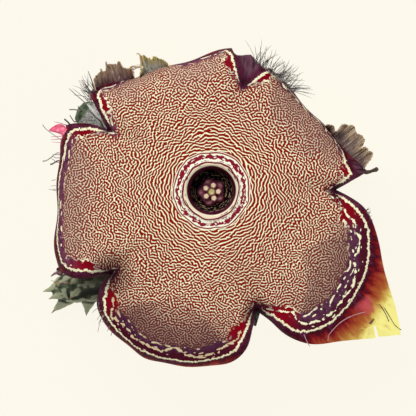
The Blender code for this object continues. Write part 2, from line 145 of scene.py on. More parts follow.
# Middle of the flower, calyx and stem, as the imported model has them
CORONA_RADIUS, CORONA_HEIGHT, CORONA_LOBING, CORONA_TURN = 3.4, 1.3, 0.08, 37.4
CENTRE_SHIFT = (0.05, -0.4, 0.0)     # the mouth leans, so the middle shows a little low
COLUMN_RADII, COLUMN_HEIGHT = (1.5, 1.0), 1.1
KNOB_RADIUS, KNOB_RING, KNOB_TURN, KNOB_LIFT = 0.77, 1.72, 3.0, 0.85
PEDICEL_RADII = (2.6, 2.1)
RECEPTACLE_RADII, RECEPTACLE_HEIGHT = (3.0, 4.2), 1.4
SEPAL = ((3.2, -10.9, 1.5), (6.4, -10.7, 1.9), (8.3, -8.6, 1.5), (9.0, -6.0, 0.9), (9.5, -3.6, 0.12))
SEPAL_WALL, SEPAL_CUP = 0.8, 0.08
HUB_RADIUS, HUB_HEIGHT = 7.0, 5.6
FURROW = 0.74
GROWING_SHOOT = ((0, 0, 4.8, 6.2), (-13, -11, 4.8, 6.2), (-25, -20.5, 4.8, 6.0), (-33, -23.5, 5.0, 4.9),
                 (-37.6, -24.6, 5.2, 3.2), (-39.6, -25.4, 5.3, 1.4))
SIDE_SHOOT = ((0, 0, 4.7, 6.0), (-14, 9, 4.7, 5.8), (-26, 16.2, 4.7, 5.4), (-30.5, 18.6, 4.8, 4.2),
              (-33.6, 20.2, 5.0, 2.2))
CUT_SHOOT = ((0, 0, 4.8, 6.2), (6, -11, 4.8, 6.2), (12.5, -23.5, 4.8, 6.2))
DRIED_SHOOT = ((0, 0, 4.2, 4.0), (12, 0.2, 3.2, 3.6), (24, 1.6, 2.8, 3.1), (32, 4.6, 2.6, 2.2), (37.4, 4.9, 3.4, 0.9),
               (39.0, 4.5, 3.8, 0.55), (42.0, 5.5, 4.4, 0.72))
SHOOT_STEP = 4.2
TOOTHED_SHOOTS = ((GROWING_SHOOT, 30.0), (SIDE_SHOOT, 32.0), (CUT_SHOOT, 24.0))     # and where their teeth stop
FIRST_TOOTH, TOOTH_SPACING, TOOTH_BASE, TOOTH_LENGTH = 10.0, 6.5, 2.1, 4.0
TOOTH_SINK, LOWEST_TOOTH = 0.62, 1.9
SPINE = 0.38 * np.array((1.2, 1.15, 0.95, 0.7, 0.45, 0.12))     # thickness of a tooth's horny point
SPINE_START = 0.58
SHOOT_COLUMNS, SHOOT_ROWS = 50, 72
SMOOTHINGS = 18          # rounds that level the stem, to tell hollows from crests
# Long teeth round the growing tip: foot, point and width at the foot
TIP_TEETH = (
    ((-30.6, -25.5, 4.2), (-31.3, -31.4, 3.0), 2.9),
    ((-35.4, -26.2, 4.0), (-40.0, -30.7, 2.4), 2.2),
    ((-37.4, -23.8, 5.6), (-42.1, -25.3, 6.4), 1.9),
    ((-36.2, -25.0, 6.4), (-40.7, -27.2, 6.6), 2.3),
    ((-33.4, -24.0, 7.6), (-35.4, -27.2, 9.6), 2.0),
    ((-30.5, -21.0, 7.8), (-35.5, -23.2, 9.8), 2.2),
    ((-34.6, -22.2, 7.0), (-39.2, -23.6, 8.2), 1.9),
)
HAIRY_FLANK = (-37.1, -36.3)         # along the side shoot's own direction, towards its tip
WRINKLE_SIZE, WRINKLE_DEPTH = 1.6, 0.5
VOXEL = 0.36

# Torn scraps that cling to the turned lobes. An outline gives distance left of a fold's heading and distance out
# along it; the feet lie where the lobe turns under.
BROWN_SCRAP = ((20.2, 32.4), (20.3, 33.6), (20.0, 35.2), (18.8, 36.1), (17.8, 36.5), (17.5, 37.3), (17.3, 36.4),
               (16.4, 36.3), (15.8, 38.6), (15.6, 37.8), (13.3, 37.1), (12.9, 37.7), (12.4, 37.5), (12.2, 35.9),
               (11.2, 35.4), (9.9, 35.0), (9.9, 34.3), (10.2, 33.0))
GREEN_SCRAP = ((8.8, 32.6), (8.2, 33.6), (7.5, 35.3), (7.3, 36.4), (7.1, 37.4), (6.2, 37.3), (5.8, 36.6), (5.2, 36.3),
               (4.7, 35.6), (4.0, 36.3), (3.6, 36.1), (3.0, 35.4), (2.0, 34.8), (1.5, 34.2), (1.0, 32.8))
SIDE_SCRAP = ((-7.1, 31.8), (-7.9, 32.9), (-8.6, 33.4), (-9.5, 33.2), (-10.2, 32.7), (-10.4, 34.5), (-9.9, 35.3),
              (-10.9, 36.1), (-12.0, 37.1), (-12.8, 37.0), (-13.6, 36.5), (-14.2, 36.4), (-15.4, 37.0), (-16.5, 36.9),
              (-17.2, 35.9), (-17.6, 34.6), (-17.9, 35.7), (-18.7, 35.9), (-19.4, 35.6), (-20.2, 36.2),
              (-20.9, 35.7), (-21.4, 33.8), (-21.8, 31.6))
SCRAP_WALL = 0.2
SCRAP_COLUMNS, SCRAP_ROWS = 150, 14
SCRAP_OVERLAP, SCRAP_JAG = 0.35, 0.07        # how far its foot lies over the lobe, and how ragged its edge is
SCRAP_DROP, SCRAP_RISE = 1.4, 3.4            # its foot under the turned edge, and its edge over its foot

# Hairs that stand along a line on the flower: the line, how many, lengths, their first and last azimuth, and how
# steeply they rise
Fringe = namedtuple("Fringe", "line count lengths azimuths rise")
FRINGES = (
    Fringe(((10.8, 32.2), (12.2, 31.2), (14.0, 29.6), (15.9, 28.3), (17.4, 27.1), (18.9, 25.8), (19.9, 24.8)), 104,
           (2.2, 6.0), (80, 4), 0.35),
    Fringe(((-38.9, 9.4), (-39.0, 4.0), (-38.8, -2.0)), 7, (0.8, 2.2), (165, 200), 0.1),
    Fringe(((38.5, -5.0), (39.0, -6.2), (39.4, -7.4)), 18, (0.6, 1.5), (40, -10), 0.1),
    Fringe(((-28.2, -26.6), (-27.2, -30.4), (-24.6, -34.4)), 9, (1.0, 2.8), (215, 245), 0.0),
    Fringe(((-30.6, 21.8), (-30.4, 23.4), (-28.9, 25.0)), 26, (2.0, 5.4), (152, 108), 0.2),
)
FRINGE_STEPS, STRAND_STEPS = 100, 8
RIM_HEIGHT, ABOVE_ALL = 24.5, 60.0   # a hair's foot beside the corolla, and a height over the whole flower
LOOSE = 0.4                          # a foot farther than this from the skin is led to it
CLUBBED, DARK_HAIRS = 0.35, 0.62     # shares of the hairs
HAIR_SCATTER = (17, 0.15, 0.18)      # of azimuth in degrees, rise and bend
HAIR_SINK, THREAD_LIFT = 0.25, 0.08
THREAD_RADIUS = 0.1
# Single strands: colour name, thickness at foot and tip, and points (x, y, z)
STRANDS = (
    ("grey_hair", 0.16, 0.1, ((-30.6, 21.4, 24), (-33.4, 23.5, 25), (-35.5, 25.4, 26))),
    ("dark_hair", 0.2, 0.08, ((-29.1, 25.0, 24), (-29.9, 27.4, 25), (-30.8, 29.8, 26))),
    ("dark_hair", 0.16, 0.08, ((-29.6, 24.1, 24), (-31.1, 25.9, 25), (-32.4, 27.6, 25.5))),
    ("pale_hair", 0.3, 0.2, ((-25.8, 14.9, 13.2), (-28.2, 17.9, 13.4), (-29.9, 20.1, 12.8), (-31.0, 21.6, 12))),
    ("pale_hair", 0.25, 0.12, ((-26.1, 14.9, 13), (-27.1, 16.6, 13), (-27.9, 18.6, 12.6))),
    ("pale_hair", 0.3, 0.12, ((-27.4, 17.1, 13.3), (-29.1, 19.4, 13), (-30.7, 21.7, 12.2))),
    ("dark_hair", 0.22, 0.14, ((-26.9, 15.6, 13.5), (-27.6, 17.1, 13.7), (-29.1, 18.5, 13.3), (-30.4, 19.9, 12.8))),
    ("grey_hair", 0.14, 0.16, ((-32.9, 19.9, 8), (-34.1, 20.2, 8.5), (-35.5, 20.2, 9))),
    ("dark_hair", 0.16, 0.1, ((-34.2, 17.1, 8), (-34.9, 18.0, 8.5), (-35.4, 18.8, 9))),
    ("dark_hair", 0.14, 0.22, ((-34.7, 16.1, 8), (-35.9, 17.1, 8.5), (-36.7, 17.8, 9))),
    ("dark_hair", 0.12, 0.08, ((-32.5, 19.9, 8), (-33.0, 20.5, 8.5), (-33.4, 21.1, 9))),
    ("grey_hair", 0.1, 0.16, ((-38.7, 9.3, 25), (-41.0, 7.6, 25), (-42.2, 7.3, 25))),
    ("dark_hair", 0.14, 0.2, ((-38.5, 7.4, 25), (-39.6, 6.7, 25), (-40.3, 6.5, 25))),
    ("grey_hair", 0.08, 0.1, ((-39.0, 13.6, 25), (-41.1, 15.1, 25.5), (-42.2, 16.4, 26))),
    ("dark_hair", 0.08, 0.05, ((-26.9, -30.1, 24), (-27.9, -31.3, 23), (-28.6, -32.4, 22))),
    ("dark_hair", 0.08, 0.05, ((-27.2, -31.3, 24), (-28.0, -33.6, 23), (-28.4, -35.4, 22))),
    ("dark_hair", 0.14, 0.05, ((-24.4, -34.6, 24), (-24.9, -35.6, 23), (-25.1, -36.4, 22))),
    ("tan_spine", 0.1, 0.07, ((-37.7, -23.0, 11), (-39.1, -22.9, 11), (-40.1, -22.4, 11))),
    ("tan_spine", 0.3, 0.1, ((-17.5, 31.2, 26), (-17.6, 32.3, 26.5), (-17.8, 33.6, 27), (-18.1, 34.2, 27),
                             (-18.8, 34.1, 27))),
    ("tan_spine", 0.3, 0.25, ((-20.3, 30.6, 25.5), (-19.5, 31.0, 26), (-18.8, 30.8, 26), (-17.5, 30.9, 26))),
    ("pale_hair", 0.5, 0.4, ((-18.9, 30.9, 25.6), (-18.0, 31.1, 25.8), (-17.2, 30.6, 25.8))),
    ("tube", 0.75, 0.35, ((11.7, -29.0, 27.5), (11.5, -31.0, 26.5), (11.1, -32.6, 25.5), (10.9, -33.8, 25))),
    ("maroon", 0.9, 0.12, ((-37.6, -20.9, 23), (-38.8, -20.6, 22.5), (-40.1, -21.5, 22))),
    ("pink_edge", 0.2, 0.05, ((-34.9, 15.9, 24), (-37.4, 16.7, 24.5), (-39.4, 17.2, 25))),
    ("pink", 0.2, 0.05, ((-35.1, 14.4, 24), (-37.1, 15.0, 24.3), (-38.8, 15.5, 24.5))),
    ("pink", 0.16, 0.05, ((-36.1, 13.6, 24), (-38.4, 13.5, 24.3), (-40.1, 13.4, 24.5))),
    ("pink_edge", 0.16, 0.05, ((-36.4, 13.0, 24), (-38.4, 12.8, 24.3), (-40.2, 12.7, 24.5))),
    ("pink", 0.22, 0.05, ((-35.4, 15.2, 24.2), (-37.0, 15.8, 24.5), (-38.5, 16.2, 24.8))),
    ("pink_edge", 0.12, 0.04, ((-36.9, 11.7, 24), (-38.4, 12.0, 24), (-39.9, 12.1, 24))),
)
# Threads that lie over the flower and dark veins near the torn tip: colour and points (x, y)
THREADS = (
    ("C4909A", ((38.4, -30.4), (36.2, -31.0), (33.6, -32.1), (31.8, -33.4), (30.6, -34.6), (29.3, -36.2),
                (29.1, -37.6))),
    ("C4909A", ((23.1, -35.9), (23.6, -37.1), (23.9, -37.9), (24.6, -39.0))),
    ("4A3420", ((43.3, -29.5), (44.6, -31.6), (45.8, -33.6), (47.4, -34.9))),
    ("4A3420", ((42.0, -28.4), (43.4, -30.6), (44.4, -32.8))),
)
# Pink scale beside the left lobe: its upper and lower edge
LIGULE = (((-35.0, 15.9), (-36.7, 16.7), (-38.6, 16.5), (-40.6, 15.1)),
          ((-35.1, 13.9), (-36.9, 14.1), (-38.7, 14.5), (-40.6, 14.9)))
LIGULE_COLUMNS, LIGULE_ROWS = 20, 8
LIGULE_HEIGHT, LIGULE_WALL = 24.0, 0.15

# View: how wide the photograph's frame is, and where the camera stands
VIEW_WIDTH = 104.0
VIEW_CENTRE = (-0.85, -4.4, 500.0)

# Studio: lamps with their places in metres and power in watts
LAMPS = (("window_lamp", (-0.25, 0.55, 0.75), 5.9), ("fill_lamp", (0.7, -0.3, 0.6), 1.3))
FLOOR_SIZE = 3.0
FLOOR_SHADE, FLOOR_GLOW, SKY_LIGHT = 0.05, 0.95, 0.45


def hex_colour(code):
    """sRGB hex digits to linear colour."""
    channels = [int(code[k:k + 2], 16) / 255 for k in (0, 2, 4)]
    return tuple(c / 12.92 if c <= 0.04045 else ((c + 0.055) / 1.055) ** 2.4 for c in channels) + (1.0,)


def colour(code, name, description):
    """A colour that the panel shows."""
    return bpy.props.FloatVectorProperty(name=name, description=description, subtype="COLOR", size=4, min=0.0,
                                         max=1.0, default=hex_colour(code))


def length(millimetres, name, description):
    """A length that the panel shows."""
    return bpy.props.FloatProperty(name=name, description=description, unit="LENGTH", min=0.0,
                                   default=millimetres * MM)


class FlowerSizes(bpy.types.PropertyGroup):
    """Sizes that change the look of the flower."""
    carpet_line: length(0.9, "Carpet line spacing", "From one dark line of the carpet to the next")
    cream_line: length(0.46, "Cream line", "Width of the pale line that runs round each lobe")
    hair: length(0.085, "Hair", "Half the thickness of a hair at its foot")
    lamp_size: length(500.0, "Lamp size", "Side of the square studio lamp")


class FlowerColours(bpy.types.PropertyGroup):
    """Colours of the flower's own skins."""
    ground: colour("FFFBD6", "Carpet ground", "Cream between the carpet's lines")
    brick: colour("8C1400", "Carpet line", "Brick red lines near the mouth")
    dull_ground: colour("E2CDB6", "Dull ground", "Ground where the carpet nears a pale lobe's rim")
    dull_line: colour("86483E", "Dull line", "Lines where the carpet nears a pale lobe's rim")
    # Painted shade: the next two colours are partly the lower lobes' own colour and partly shade away from the light
    shaded_dull_ground: colour("9E7C6C", "Dusky ground", "Ground near the rim of the dark lobes")
    shaded_dull_line: colour("5A3032", "Dusky line", "Lines near the rim of the dark lobes")
    purple: colour("4F2740", "Purple band", "Solid band inside the cream line")
    crimson: colour("820418", "Crimson", "Patches beside the notches")
    cream: colour("FBF6D2", "Cream line", "Line round each lobe")
    maroon: colour("5F2440", "Maroon margin", "Margin outside the cream line")
    straw: colour("FFF896", "Yellow tip", "Tip of a lobe")
    tube: colour("0A0206", "Tube", "Inside of the tube")
    underside: colour("A9A66B", "Underside", "Underside of the corolla")
    corona: colour("7A1E46", "Corona", "Disc on the tube's floor")
    knob: colour("FFEBC6", "Knobs", "Knobs round the column")
    stem: colour("5E6C4C", "Stem", "Ridges of the stem")
    tooth: colour("A6AC8C", "Teeth", "Upper half of the stem's teeth")
    pink: colour("EC6488", "Ligule", "Pink scale on the left")
    grey_hair: colour("8E8A86", "Grey hairs", "Weathered hairs")
    dark_hair: colour("3C3236", "Dark hairs", "Living hairs")
    pale_hair: colour("D5D8D4", "Pale hairs", "Silvery hairs in the upper left notch")
    tan_spine: colour("B0835A", "Spines", "Horny points of the teeth")
    pink_edge: colour("C9749A", "Ligule hairs", "Hairs round the pink scale")
    floor: colour("FDF9EC", "Floor", "Studio floor")


def ease(low, high, value):
    """0 below low, 1 above high and smooth between, also for arrays."""
    share = np.clip((value - low) / (high - low), 0.0, 1.0)
    return share * share * (3 - 2 * share)


def heading(azimuth):
    """Unit step towards an azimuth in degrees."""
    return np.array((cos(radians(azimuth)), sin(radians(azimuth))))


def left_of(along):
    """A flat step turned a quarter to the left."""
    return np.array((-along[1], along[0]))


def unit(vector):
    """A step made one long."""
    return vector / np.linalg.norm(vector)


def lay(flat, lift=0.0):
    """Points of the flat sheet, (N, 2), carried over the folds and into place, (N, 3)."""
    place = flat.copy()
    height = np.full(len(flat), DISC_HEIGHT) + lift
    for fold in FOLDS:
        along = heading(fold.azimuth)
        sway = SWAY * np.sin(flat @ left_of(along) / SWAY_PITCH + fold.azimuth)
        run = np.maximum(flat @ along - fold.start - sway, 0.0)
        turn = np.minimum(run / fold.radius, radians(fold.angle))
        rest = run - turn * fold.radius
        reach = fold.radius * np.sin(turn) + rest * np.cos(turn)
        height -= fold.radius * (1 - np.cos(turn)) + rest * np.sin(turn)
        place += (reach - run)[:, None] * along
    radius = np.hypot(*flat.T)
    height -= DOME * (np.minimum(radius, DOME_RADIUS) / DOME_RADIUS) ** 2
    for notch in NOTCHES:
        along = heading(notch.azimuth)
        off = np.abs(flat[:, 0] * along[1] - flat[:, 1] * along[0]) / CREASE_WIDTH
        height -= CREASE_DEPTH * np.exp(-off * off) * ease(CREASE_START, notch.radius, flat @ along)
    angle = np.arctan2(flat[:, 1], flat[:, 0])
    swell = np.sin(3 * angle + RIPPLE_PHASE) * np.sin(radius / RIPPLE_PITCH)
    height += RIPPLE_HEIGHT * swell * ease(2 * RIPPLE_PITCH, 4 * RIPPLE_PITCH, radius)
    return np.column_stack((place, height))


def along_curve(points, share):
    """Smooth curve through points whose first number is the share of the way."""
    last = len(points) - 1
    index = max(k for k in range(last) if points[k][0] <= share or k == 0)
    start, end = np.array(points[index]), np.array(points[index + 1])
    before, after = np.array(points[max(index - 1, 0)]), np.array(points[min(index + 2, last)])
    span = end[0] - start[0]
    step = (share - start[0]) / span
    slope_in = (end - before) / (end[0] - before[0]) * span
    slope_out = (after - start) / (after[0] - start[0]) * span
    square, cube = step * step, step ** 3
    return ((2 * cube - 3 * square + 1) * start + (cube - 2 * square + step) * slope_in
            + (3 * square - 2 * cube) * end + (cube - square) * slope_out)[1:]


def guide(number, share, points, lip):
    """Flat point on a lobe's cream line or margin. Share runs from -1 at one notch to 1 at the next."""
    lobe = LOBES[number]
    side = 1 if share >= 0 else -1
    notch = NOTCHES[(number + 1) % 5] if side > 0 else NOTCHES[number]
    end = heading(notch.azimuth) * (notch.radius + (notch.web if lip == 0 else -lip))
    along = heading(lobe.azimuth)
    left = left_of(along)
    stretch = (lobe.reach - SHOULDER) / (PLAIN_REACH - SHOULDER) if lip == 0 else 1.0
    curve = [(s, reach + max(reach - SHOULDER, 0) * (stretch - 1), width * lobe.half_width)
             for s, reach, width in points]
    curve.append((1.0, end @ along, side * (end @ left)))
    reach, width = along_curve(curve, abs(share))
    reach -= np.interp(share, *zip(*(lobe.pull if lip else lobe.trim)))
    return along * reach + left * (side * width + lobe.lean * ease(*LEAN_SPAN, reach))


def column_ray(number, share):
    """Step from the middle towards a lobe's share of the round, even between its notches."""
    start = NOTCHES[number].azimuth
    end = NOTCHES[(number + 1) % 5].azimuth + (360 if number == 4 else 0)
    return heading(start + (end - start) * (share + 1) / 2)


def sheet_column(number, share):
    """One line of the sheet from the tube's middle to the margin: flat points, and their lifts."""
    ray = column_ray(number, share)
    cream = guide(number, share, CREAM_LINE, NOTCH_LIP)
    margin = guide(number, share, MARGIN, 0)
    tube = np.array([along_curve([(k, *point) for k, point in enumerate(TUBE)], (len(TUBE) - 1) * row / TUBE_ROWS)
                     for row in range(TUBE_ROWS + 1)])
    foot = ray * TUBE[-1][0]
    disc = np.linspace(0, 1, DISC_ROWS + 1)[1:]
    band = np.linspace(0, 1, BAND_ROWS + 1)[1:]
    ruffle = RUFFLE_HEIGHT * sin(RUFFLES * 3 * share + number) * ease(0.0, 0.2, 1 - abs(share))
    flat = np.vstack((ray * tube[:, :1], foot + (cream - foot) * disc[:, None],
                      cream + (margin - cream) * band[:, None]))
    lift = np.concatenate((tube[:, 1], np.zeros(DISC_ROWS), (ruffle - MARGIN_ROLL * band) * band))
    return flat, lift


def rim_values(flat):
    """How far along the cream line each point lies, how far from it, and how far along it the notch is."""
    points, notches = [], []
    for number in range(5):
        notches.append(len(points))
        points += [guide(number, share, CREAM_LINE, NOTCH_LIP) for share in np.linspace(-1, 1, RIM_STEPS + 1)[:-1]]
    points = np.array(points)
    steps = np.roll(points, -1, axis=0) - points
    sizes = np.hypot(*steps.T)
    run = np.concatenate(((0,), np.cumsum(sizes)))[:-1]
    apart = np.hypot(flat[:, None, 0] - points[None, :, 0], flat[:, None, 1] - points[None, :, 1])
    nearest = apart.argmin(axis=1)
    course = steps[nearest] / sizes[nearest, None]
    shift = np.clip(((flat - points[nearest]) * course).sum(axis=1), -RIM_SHIFT, RIM_SHIFT)
    out = np.sqrt(np.maximum(apart.min(axis=1) ** 2 - shift ** 2, 0))
    to_notch = np.abs(run[:, None] - run[notches][None, :])
    to_notch = np.minimum(to_notch, sizes.sum() - to_notch).min(axis=1)
    return run[nearest] + shift, out, to_notch[nearest]


def lobe_blend(flat, values):
    """A value for each lobe, blended across the notches."""
    angle = np.degrees(np.arctan2(flat[:, 1], flat[:, 0])) % 360
    result = np.full(len(flat), values[4], float)
    for number, notch in enumerate(NOTCHES):
        previous = values[number - 1]
        swing = (angle - notch.azimuth + 180) % 360 - 180
        share = ease(-LOBE_BLEND, LOBE_BLEND, swing)
        near = (swing > -SECTOR / 2) & (swing < SECTOR)
        result = np.where(near, previous + (values[number] - previous) * share, result)
    return result


def curve_points(points, count):
    """Points on a smooth curve through rows of numbers. Count gives the steps of a span from its length."""
    knots = np.array(points, float)
    padded = np.vstack((knots[:1], knots, knots[-1:]))
    parts = []
    for before, start, end, after in zip(padded, padded[1:], padded[2:], padded[3:]):
        share = np.linspace(0, 1, count(np.linalg.norm(end - start)), endpoint=False)[:, None]
        square, cube = share ** 2, share ** 3
        parts.append((2 * cube - 3 * square + 1) * start + (cube - 2 * square + share) * (end - before) / 2
                     + (3 * square - 2 * cube) * end + (cube - square) * (after - start) / 2)
    return np.vstack((*parts, knots[-1:]))


def even_path(points, count):
    """Even steps along the smooth curve through rows that start with a place."""
    dense = curve_points(points, lambda span: 16)
    run = np.concatenate(((0,), np.cumsum(np.linalg.norm(np.diff(dense[:, :3], axis=0), axis=1))))
    steps = np.linspace(0, run[-1], count + 1)
    return np.column_stack([np.interp(steps, run, column) for column in dense.T])


def directions(spine):
    """Along, to the side of and up from a line of places."""
    along = np.gradient(spine, axis=0)
    along /= np.linalg.norm(along, axis=1)[:, None]
    side = np.cross((0.01, 0.02, 1.0), along)
    side /= np.linalg.norm(side, axis=1)[:, None]
    return along, side, np.cross(along, side)


def tube_places(path, column, row, columns, ridged=False):
    """Places of a tube's points round a path of places and thicknesses."""
    _, side, up = directions(path[:, :3])
    angle = 2 * pi * column / columns
    reach = path[row, 3]
    if ridged:
        reach = reach * (FURROW + (1 - FURROW) * (0.5 + 0.5 * np.cos(5 * (angle - pi / 2))) ** 0.8)
    return path[row, :3] + side[row] * (reach * np.cos(angle))[:, None] + up[row] * (reach * np.sin(angle))[:, None]


# What a second word in a node's kind sets
CHOICES = {"Math": "operation", "VectorMath": "operation", "Mix": "data_type", "TexGabor": "gabor_type",
           "MapRange": "interpolation_type", "Attribute": "attribute_name"}


def plain_colour(value):
    """A value as a socket takes it: hex digits become a colour, and anything else stays."""
    return hex_colour(value) if isinstance(value, str) else value


def add_node(tree, kind, *values, stops=()):
    """Adds a node, a Math node if its kind is an operation in capitals, with what its inputs in use take in turn:
    numbers, colours or other nodes. Stops are a ramp's places and colours."""
    kind, *choice = ("Math " + kind if kind.isupper() else kind).split()
    made = tree.nodes.new("ShaderNode" + kind)
    for word in choice:
        setattr(made, CHOICES[kind], word)
    for target, value in zip([socket for socket in made.inputs if socket.enabled], values):
        if isinstance(value, bpy.types.Node):
            value = next(socket for socket in value.outputs if socket.enabled)
        if isinstance(value, bpy.types.NodeSocket):
            tree.links.new(value, target)
        else:
            target.default_value = plain_colour(value)
    for index, (position, code) in enumerate(stops):
        ramp = made.color_ramp.elements
        stop = ramp[index] if index < 2 else ramp.new(position)
        stop.position, stop.color = position, plain_colour(code)
    return made


def new_material(name, roughness, gloss):
    """A material with its shader, a way to add nodes to it, and one to give it its colour and relief."""
    made = bpy.data.materials.new(name)
    made.use_nodes = True
    tree = made.node_tree
    shader = tree.nodes["Principled BSDF"]
    shader.inputs["Roughness"].default_value = roughness
    shader.inputs["Specular IOR Level"].default_value = gloss

    n = partial(add_node, tree)

    def wear(skin, height, depth):
        tree.links.new(next(socket for socket in skin.outputs if socket.enabled), shader.inputs["Base Color"])
        tree.links.new(n("Bump", 1.0, depth * MM, BUMP_FILTER, height).outputs[0], shader.inputs["Normal"])

    return made, n, wear


def own_place(n):
    """The place on the flower in millimetres."""
    return n("VectorMath SCALE", n("TexCoord").outputs["Object"], 1 / MM)


def stored(n, name):
    """The three numbers that a mesh keeps at each point."""
    return n("Attribute " + name).outputs["Vector"]


def in_spokes(n, flat, around, outwards):
    """A place for noise that runs in spokes from the middle, from how fast it changes around and outwards."""
    along = n("CombineXYZ", 0, 0, n("MULTIPLY", n("VectorMath LENGTH", flat), outwards))
    return n("VectorMath MULTIPLY_ADD", n("VectorMath NORMALIZE", flat), (around, around, 0.0), along)


def petal_skin(sizes, colours):
    """Living petal: fleshy, waxy skin, so a soft broad gloss over the printed carpet of lines."""
    made, n, wear = new_material("fleshy_petal_upper", 0.55, 0.03)
    flat, place = stored(n, "flat"), own_place(n)
    x, y, _ = n("SeparateXYZ", flat).outputs
    run, out, notch = n("SeparateXYZ", stored(n, "rim")).outputs
    dusk, band, crease = n("SeparateXYZ", stored(n, "lobe")).outputs
    far, thread, _ = n("SeparateXYZ", stored(n, "rim_look")).outputs
    radius = n("VectorMath LENGTH", flat)
    angle = n("ARCTAN2", y, x)

    # The carpet: waves that run round the mouth and lose their way outwards
    drift = n("VectorMath ADD", n("TexNoise", flat, 0.14, 2.0).outputs["Color"], (-0.5, -0.5, -0.5))
    bent = n("VectorMath MULTIPLY_ADD", drift, (1.8, 1.8, 0.0), flat)
    order = n("MapRange", radius, CARPET_START, 25.0, 0.86, 0.12)
    swing = n("MapRange", radius, 10.0, 27.0, 0.4, 2.6)
    course = n("ADD", angle, n("MULTIPLY", n("ADD", n("TexNoise", flat, 0.17, 1.0), -0.5), swing))
    pace = n("MapRange", radius, CARPET_START, 40.0, 1.1 * WAVES, 1.45 * WAVES)
    waves = n("TexGabor 2D", bent, MM / (WAVES * sizes.carpet_line), pace, order, course).outputs["Phase"]
    breaks = n("ADD", n("TexNoise", flat, 1.5, 1.0), -0.5)
    torn = n("MapRange", radius, CARPET_START, 24.0, 0.3, 1.7)
    waves = n("MULTIPLY_ADD", breaks, torn, n("SINE", n("MULTIPLY", waves, 2 * pi)))

    # Towards the rim the ground thins out to dashes and then to the solid purple band, which narrows at a notch
    patchy, ragged = (n("TexNoise", flat, scale, 2.0) for scale in (0.35, 0.95))
    inside = n("ADD", n("MULTIPLY_ADD", ragged, 2.6, n("MULTIPLY_ADD", patchy, 2.8, out)), -2.7)
    corner = n("MULTIPLY", n("MapRange", notch, 2.2, 6.4), n("MapRange", notch, 14.0, 8.5))
    width = n("MULTIPLY", band, n("MapRange", notch, 2.0, 8.0, 0.12))
    block = n("MapRange", n("VectorMath DISTANCE", flat, SOLID_PATCH), 5.2, 3.0, 0, 2.9)
    for least in (n("MULTIPLY", corner, 2.0), block):
        width = n("MAXIMUM", width, least)
    depth = n("ADD", inside, width)
    level = n("MapRange", radius, CARPET_START, 16.0, 0.4, 0.46)
    closing = n("MapRange", depth, n("MapRange", corner, 0, 1, -1.4, -0.4), 0.7, level, 1.6)
    ground_share = n("MapRange", waves, n("ADD", closing, -0.2), n("ADD", closing, 0.2))
    on_rim = n("CombineXYZ", run, out)
    sparse = n("MapRange", depth, -1.2, 3.0, 0.56, 0.7)
    dashes = n("MapRange", n("TexGabor 2D", on_rim, 0.5, 1.5, 0.7, pi / 2), sparse, n("ADD", sparse, 0.02))
    wander = n("TexNoise", n("CombineXYZ", run, 3.7), 0.13, 2.0)
    second = n("ABSOLUTE", n("ADD", n("MULTIPLY_ADD", wander, 7.0, out), -1.6))
    broken = n("MapRange", n("TexNoise", on_rim, 0.8, 2.0), 0.42, 0.62, 0.0, 0.45)
    second = n("MULTIPLY", n("LESS_THAN", second, broken), n("MapRange", width, 2.9, 3.5))
    curl = n("MULTIPLY", n("COMPARE", depth, 0.2, n("MULTIPLY", broken, 0.8)), corner)

    # Colours dull towards the rim, most on the lower lobes, and stay bright beside the notches: partly the lobes' own
    # colour and partly painted shade on the lower lobes, which face away from the light
    fade = n("MapRange SMOOTHSTEP", inside, n("MULTIPLY", far, -1.0), n("MULTIPLY_ADD", dusk, -3.0, -2.0))
    fade = n("MULTIPLY", fade, n("MapRange", notch, 4.0, 17.0, 0.15))
    ground = n("Mix RGBA", fade, colours.ground, n("Mix RGBA", dusk, colours.dull_ground, colours.shaded_dull_ground))
    line = n("Mix RGBA", fade, colours.brick, n("Mix RGBA", dusk, colours.dull_line, colours.shaded_dull_line))
    in_band = n("MapRange", depth, -0.9, 0.1)
    dimmed = n("MapRange", n("TexNoise", flat, 0.9, 3.0), 0.45, 0.7, 0, 0.7)
    by_line = n("MULTIPLY", n("MapRange", inside, -2.8, -1.6, 0, 0.85), n("MapRange", dusk, 0.1, 0.7, 0.25))
    solid = n("Mix RGBA", dusk, "7E4866", colours.purple)
    for share, skin in ((dimmed, "2E0B1C"), (by_line, "4A0A1C"), (corner, colours.crimson)):
        solid = n("Mix RGBA", share, solid, skin)
    line = n("Mix RGBA", in_band, line, solid)
    dashes = n("MULTIPLY", dashes, n("MULTIPLY", in_band, n("MapRange", corner, 0, 1, 1.0, 0.0)))
    for more in (second, curl):
        dashes = n("MAXIMUM", dashes, more)
    dash_skin = n("Mix RGBA", n("MapRange", dusk, 0.75, 1.0, 0, 0.8), colours.cream, "CDB48C")
    carpet = n("Mix RGBA", dashes, n("Mix RGBA", ground_share, line, ground), dash_skin)

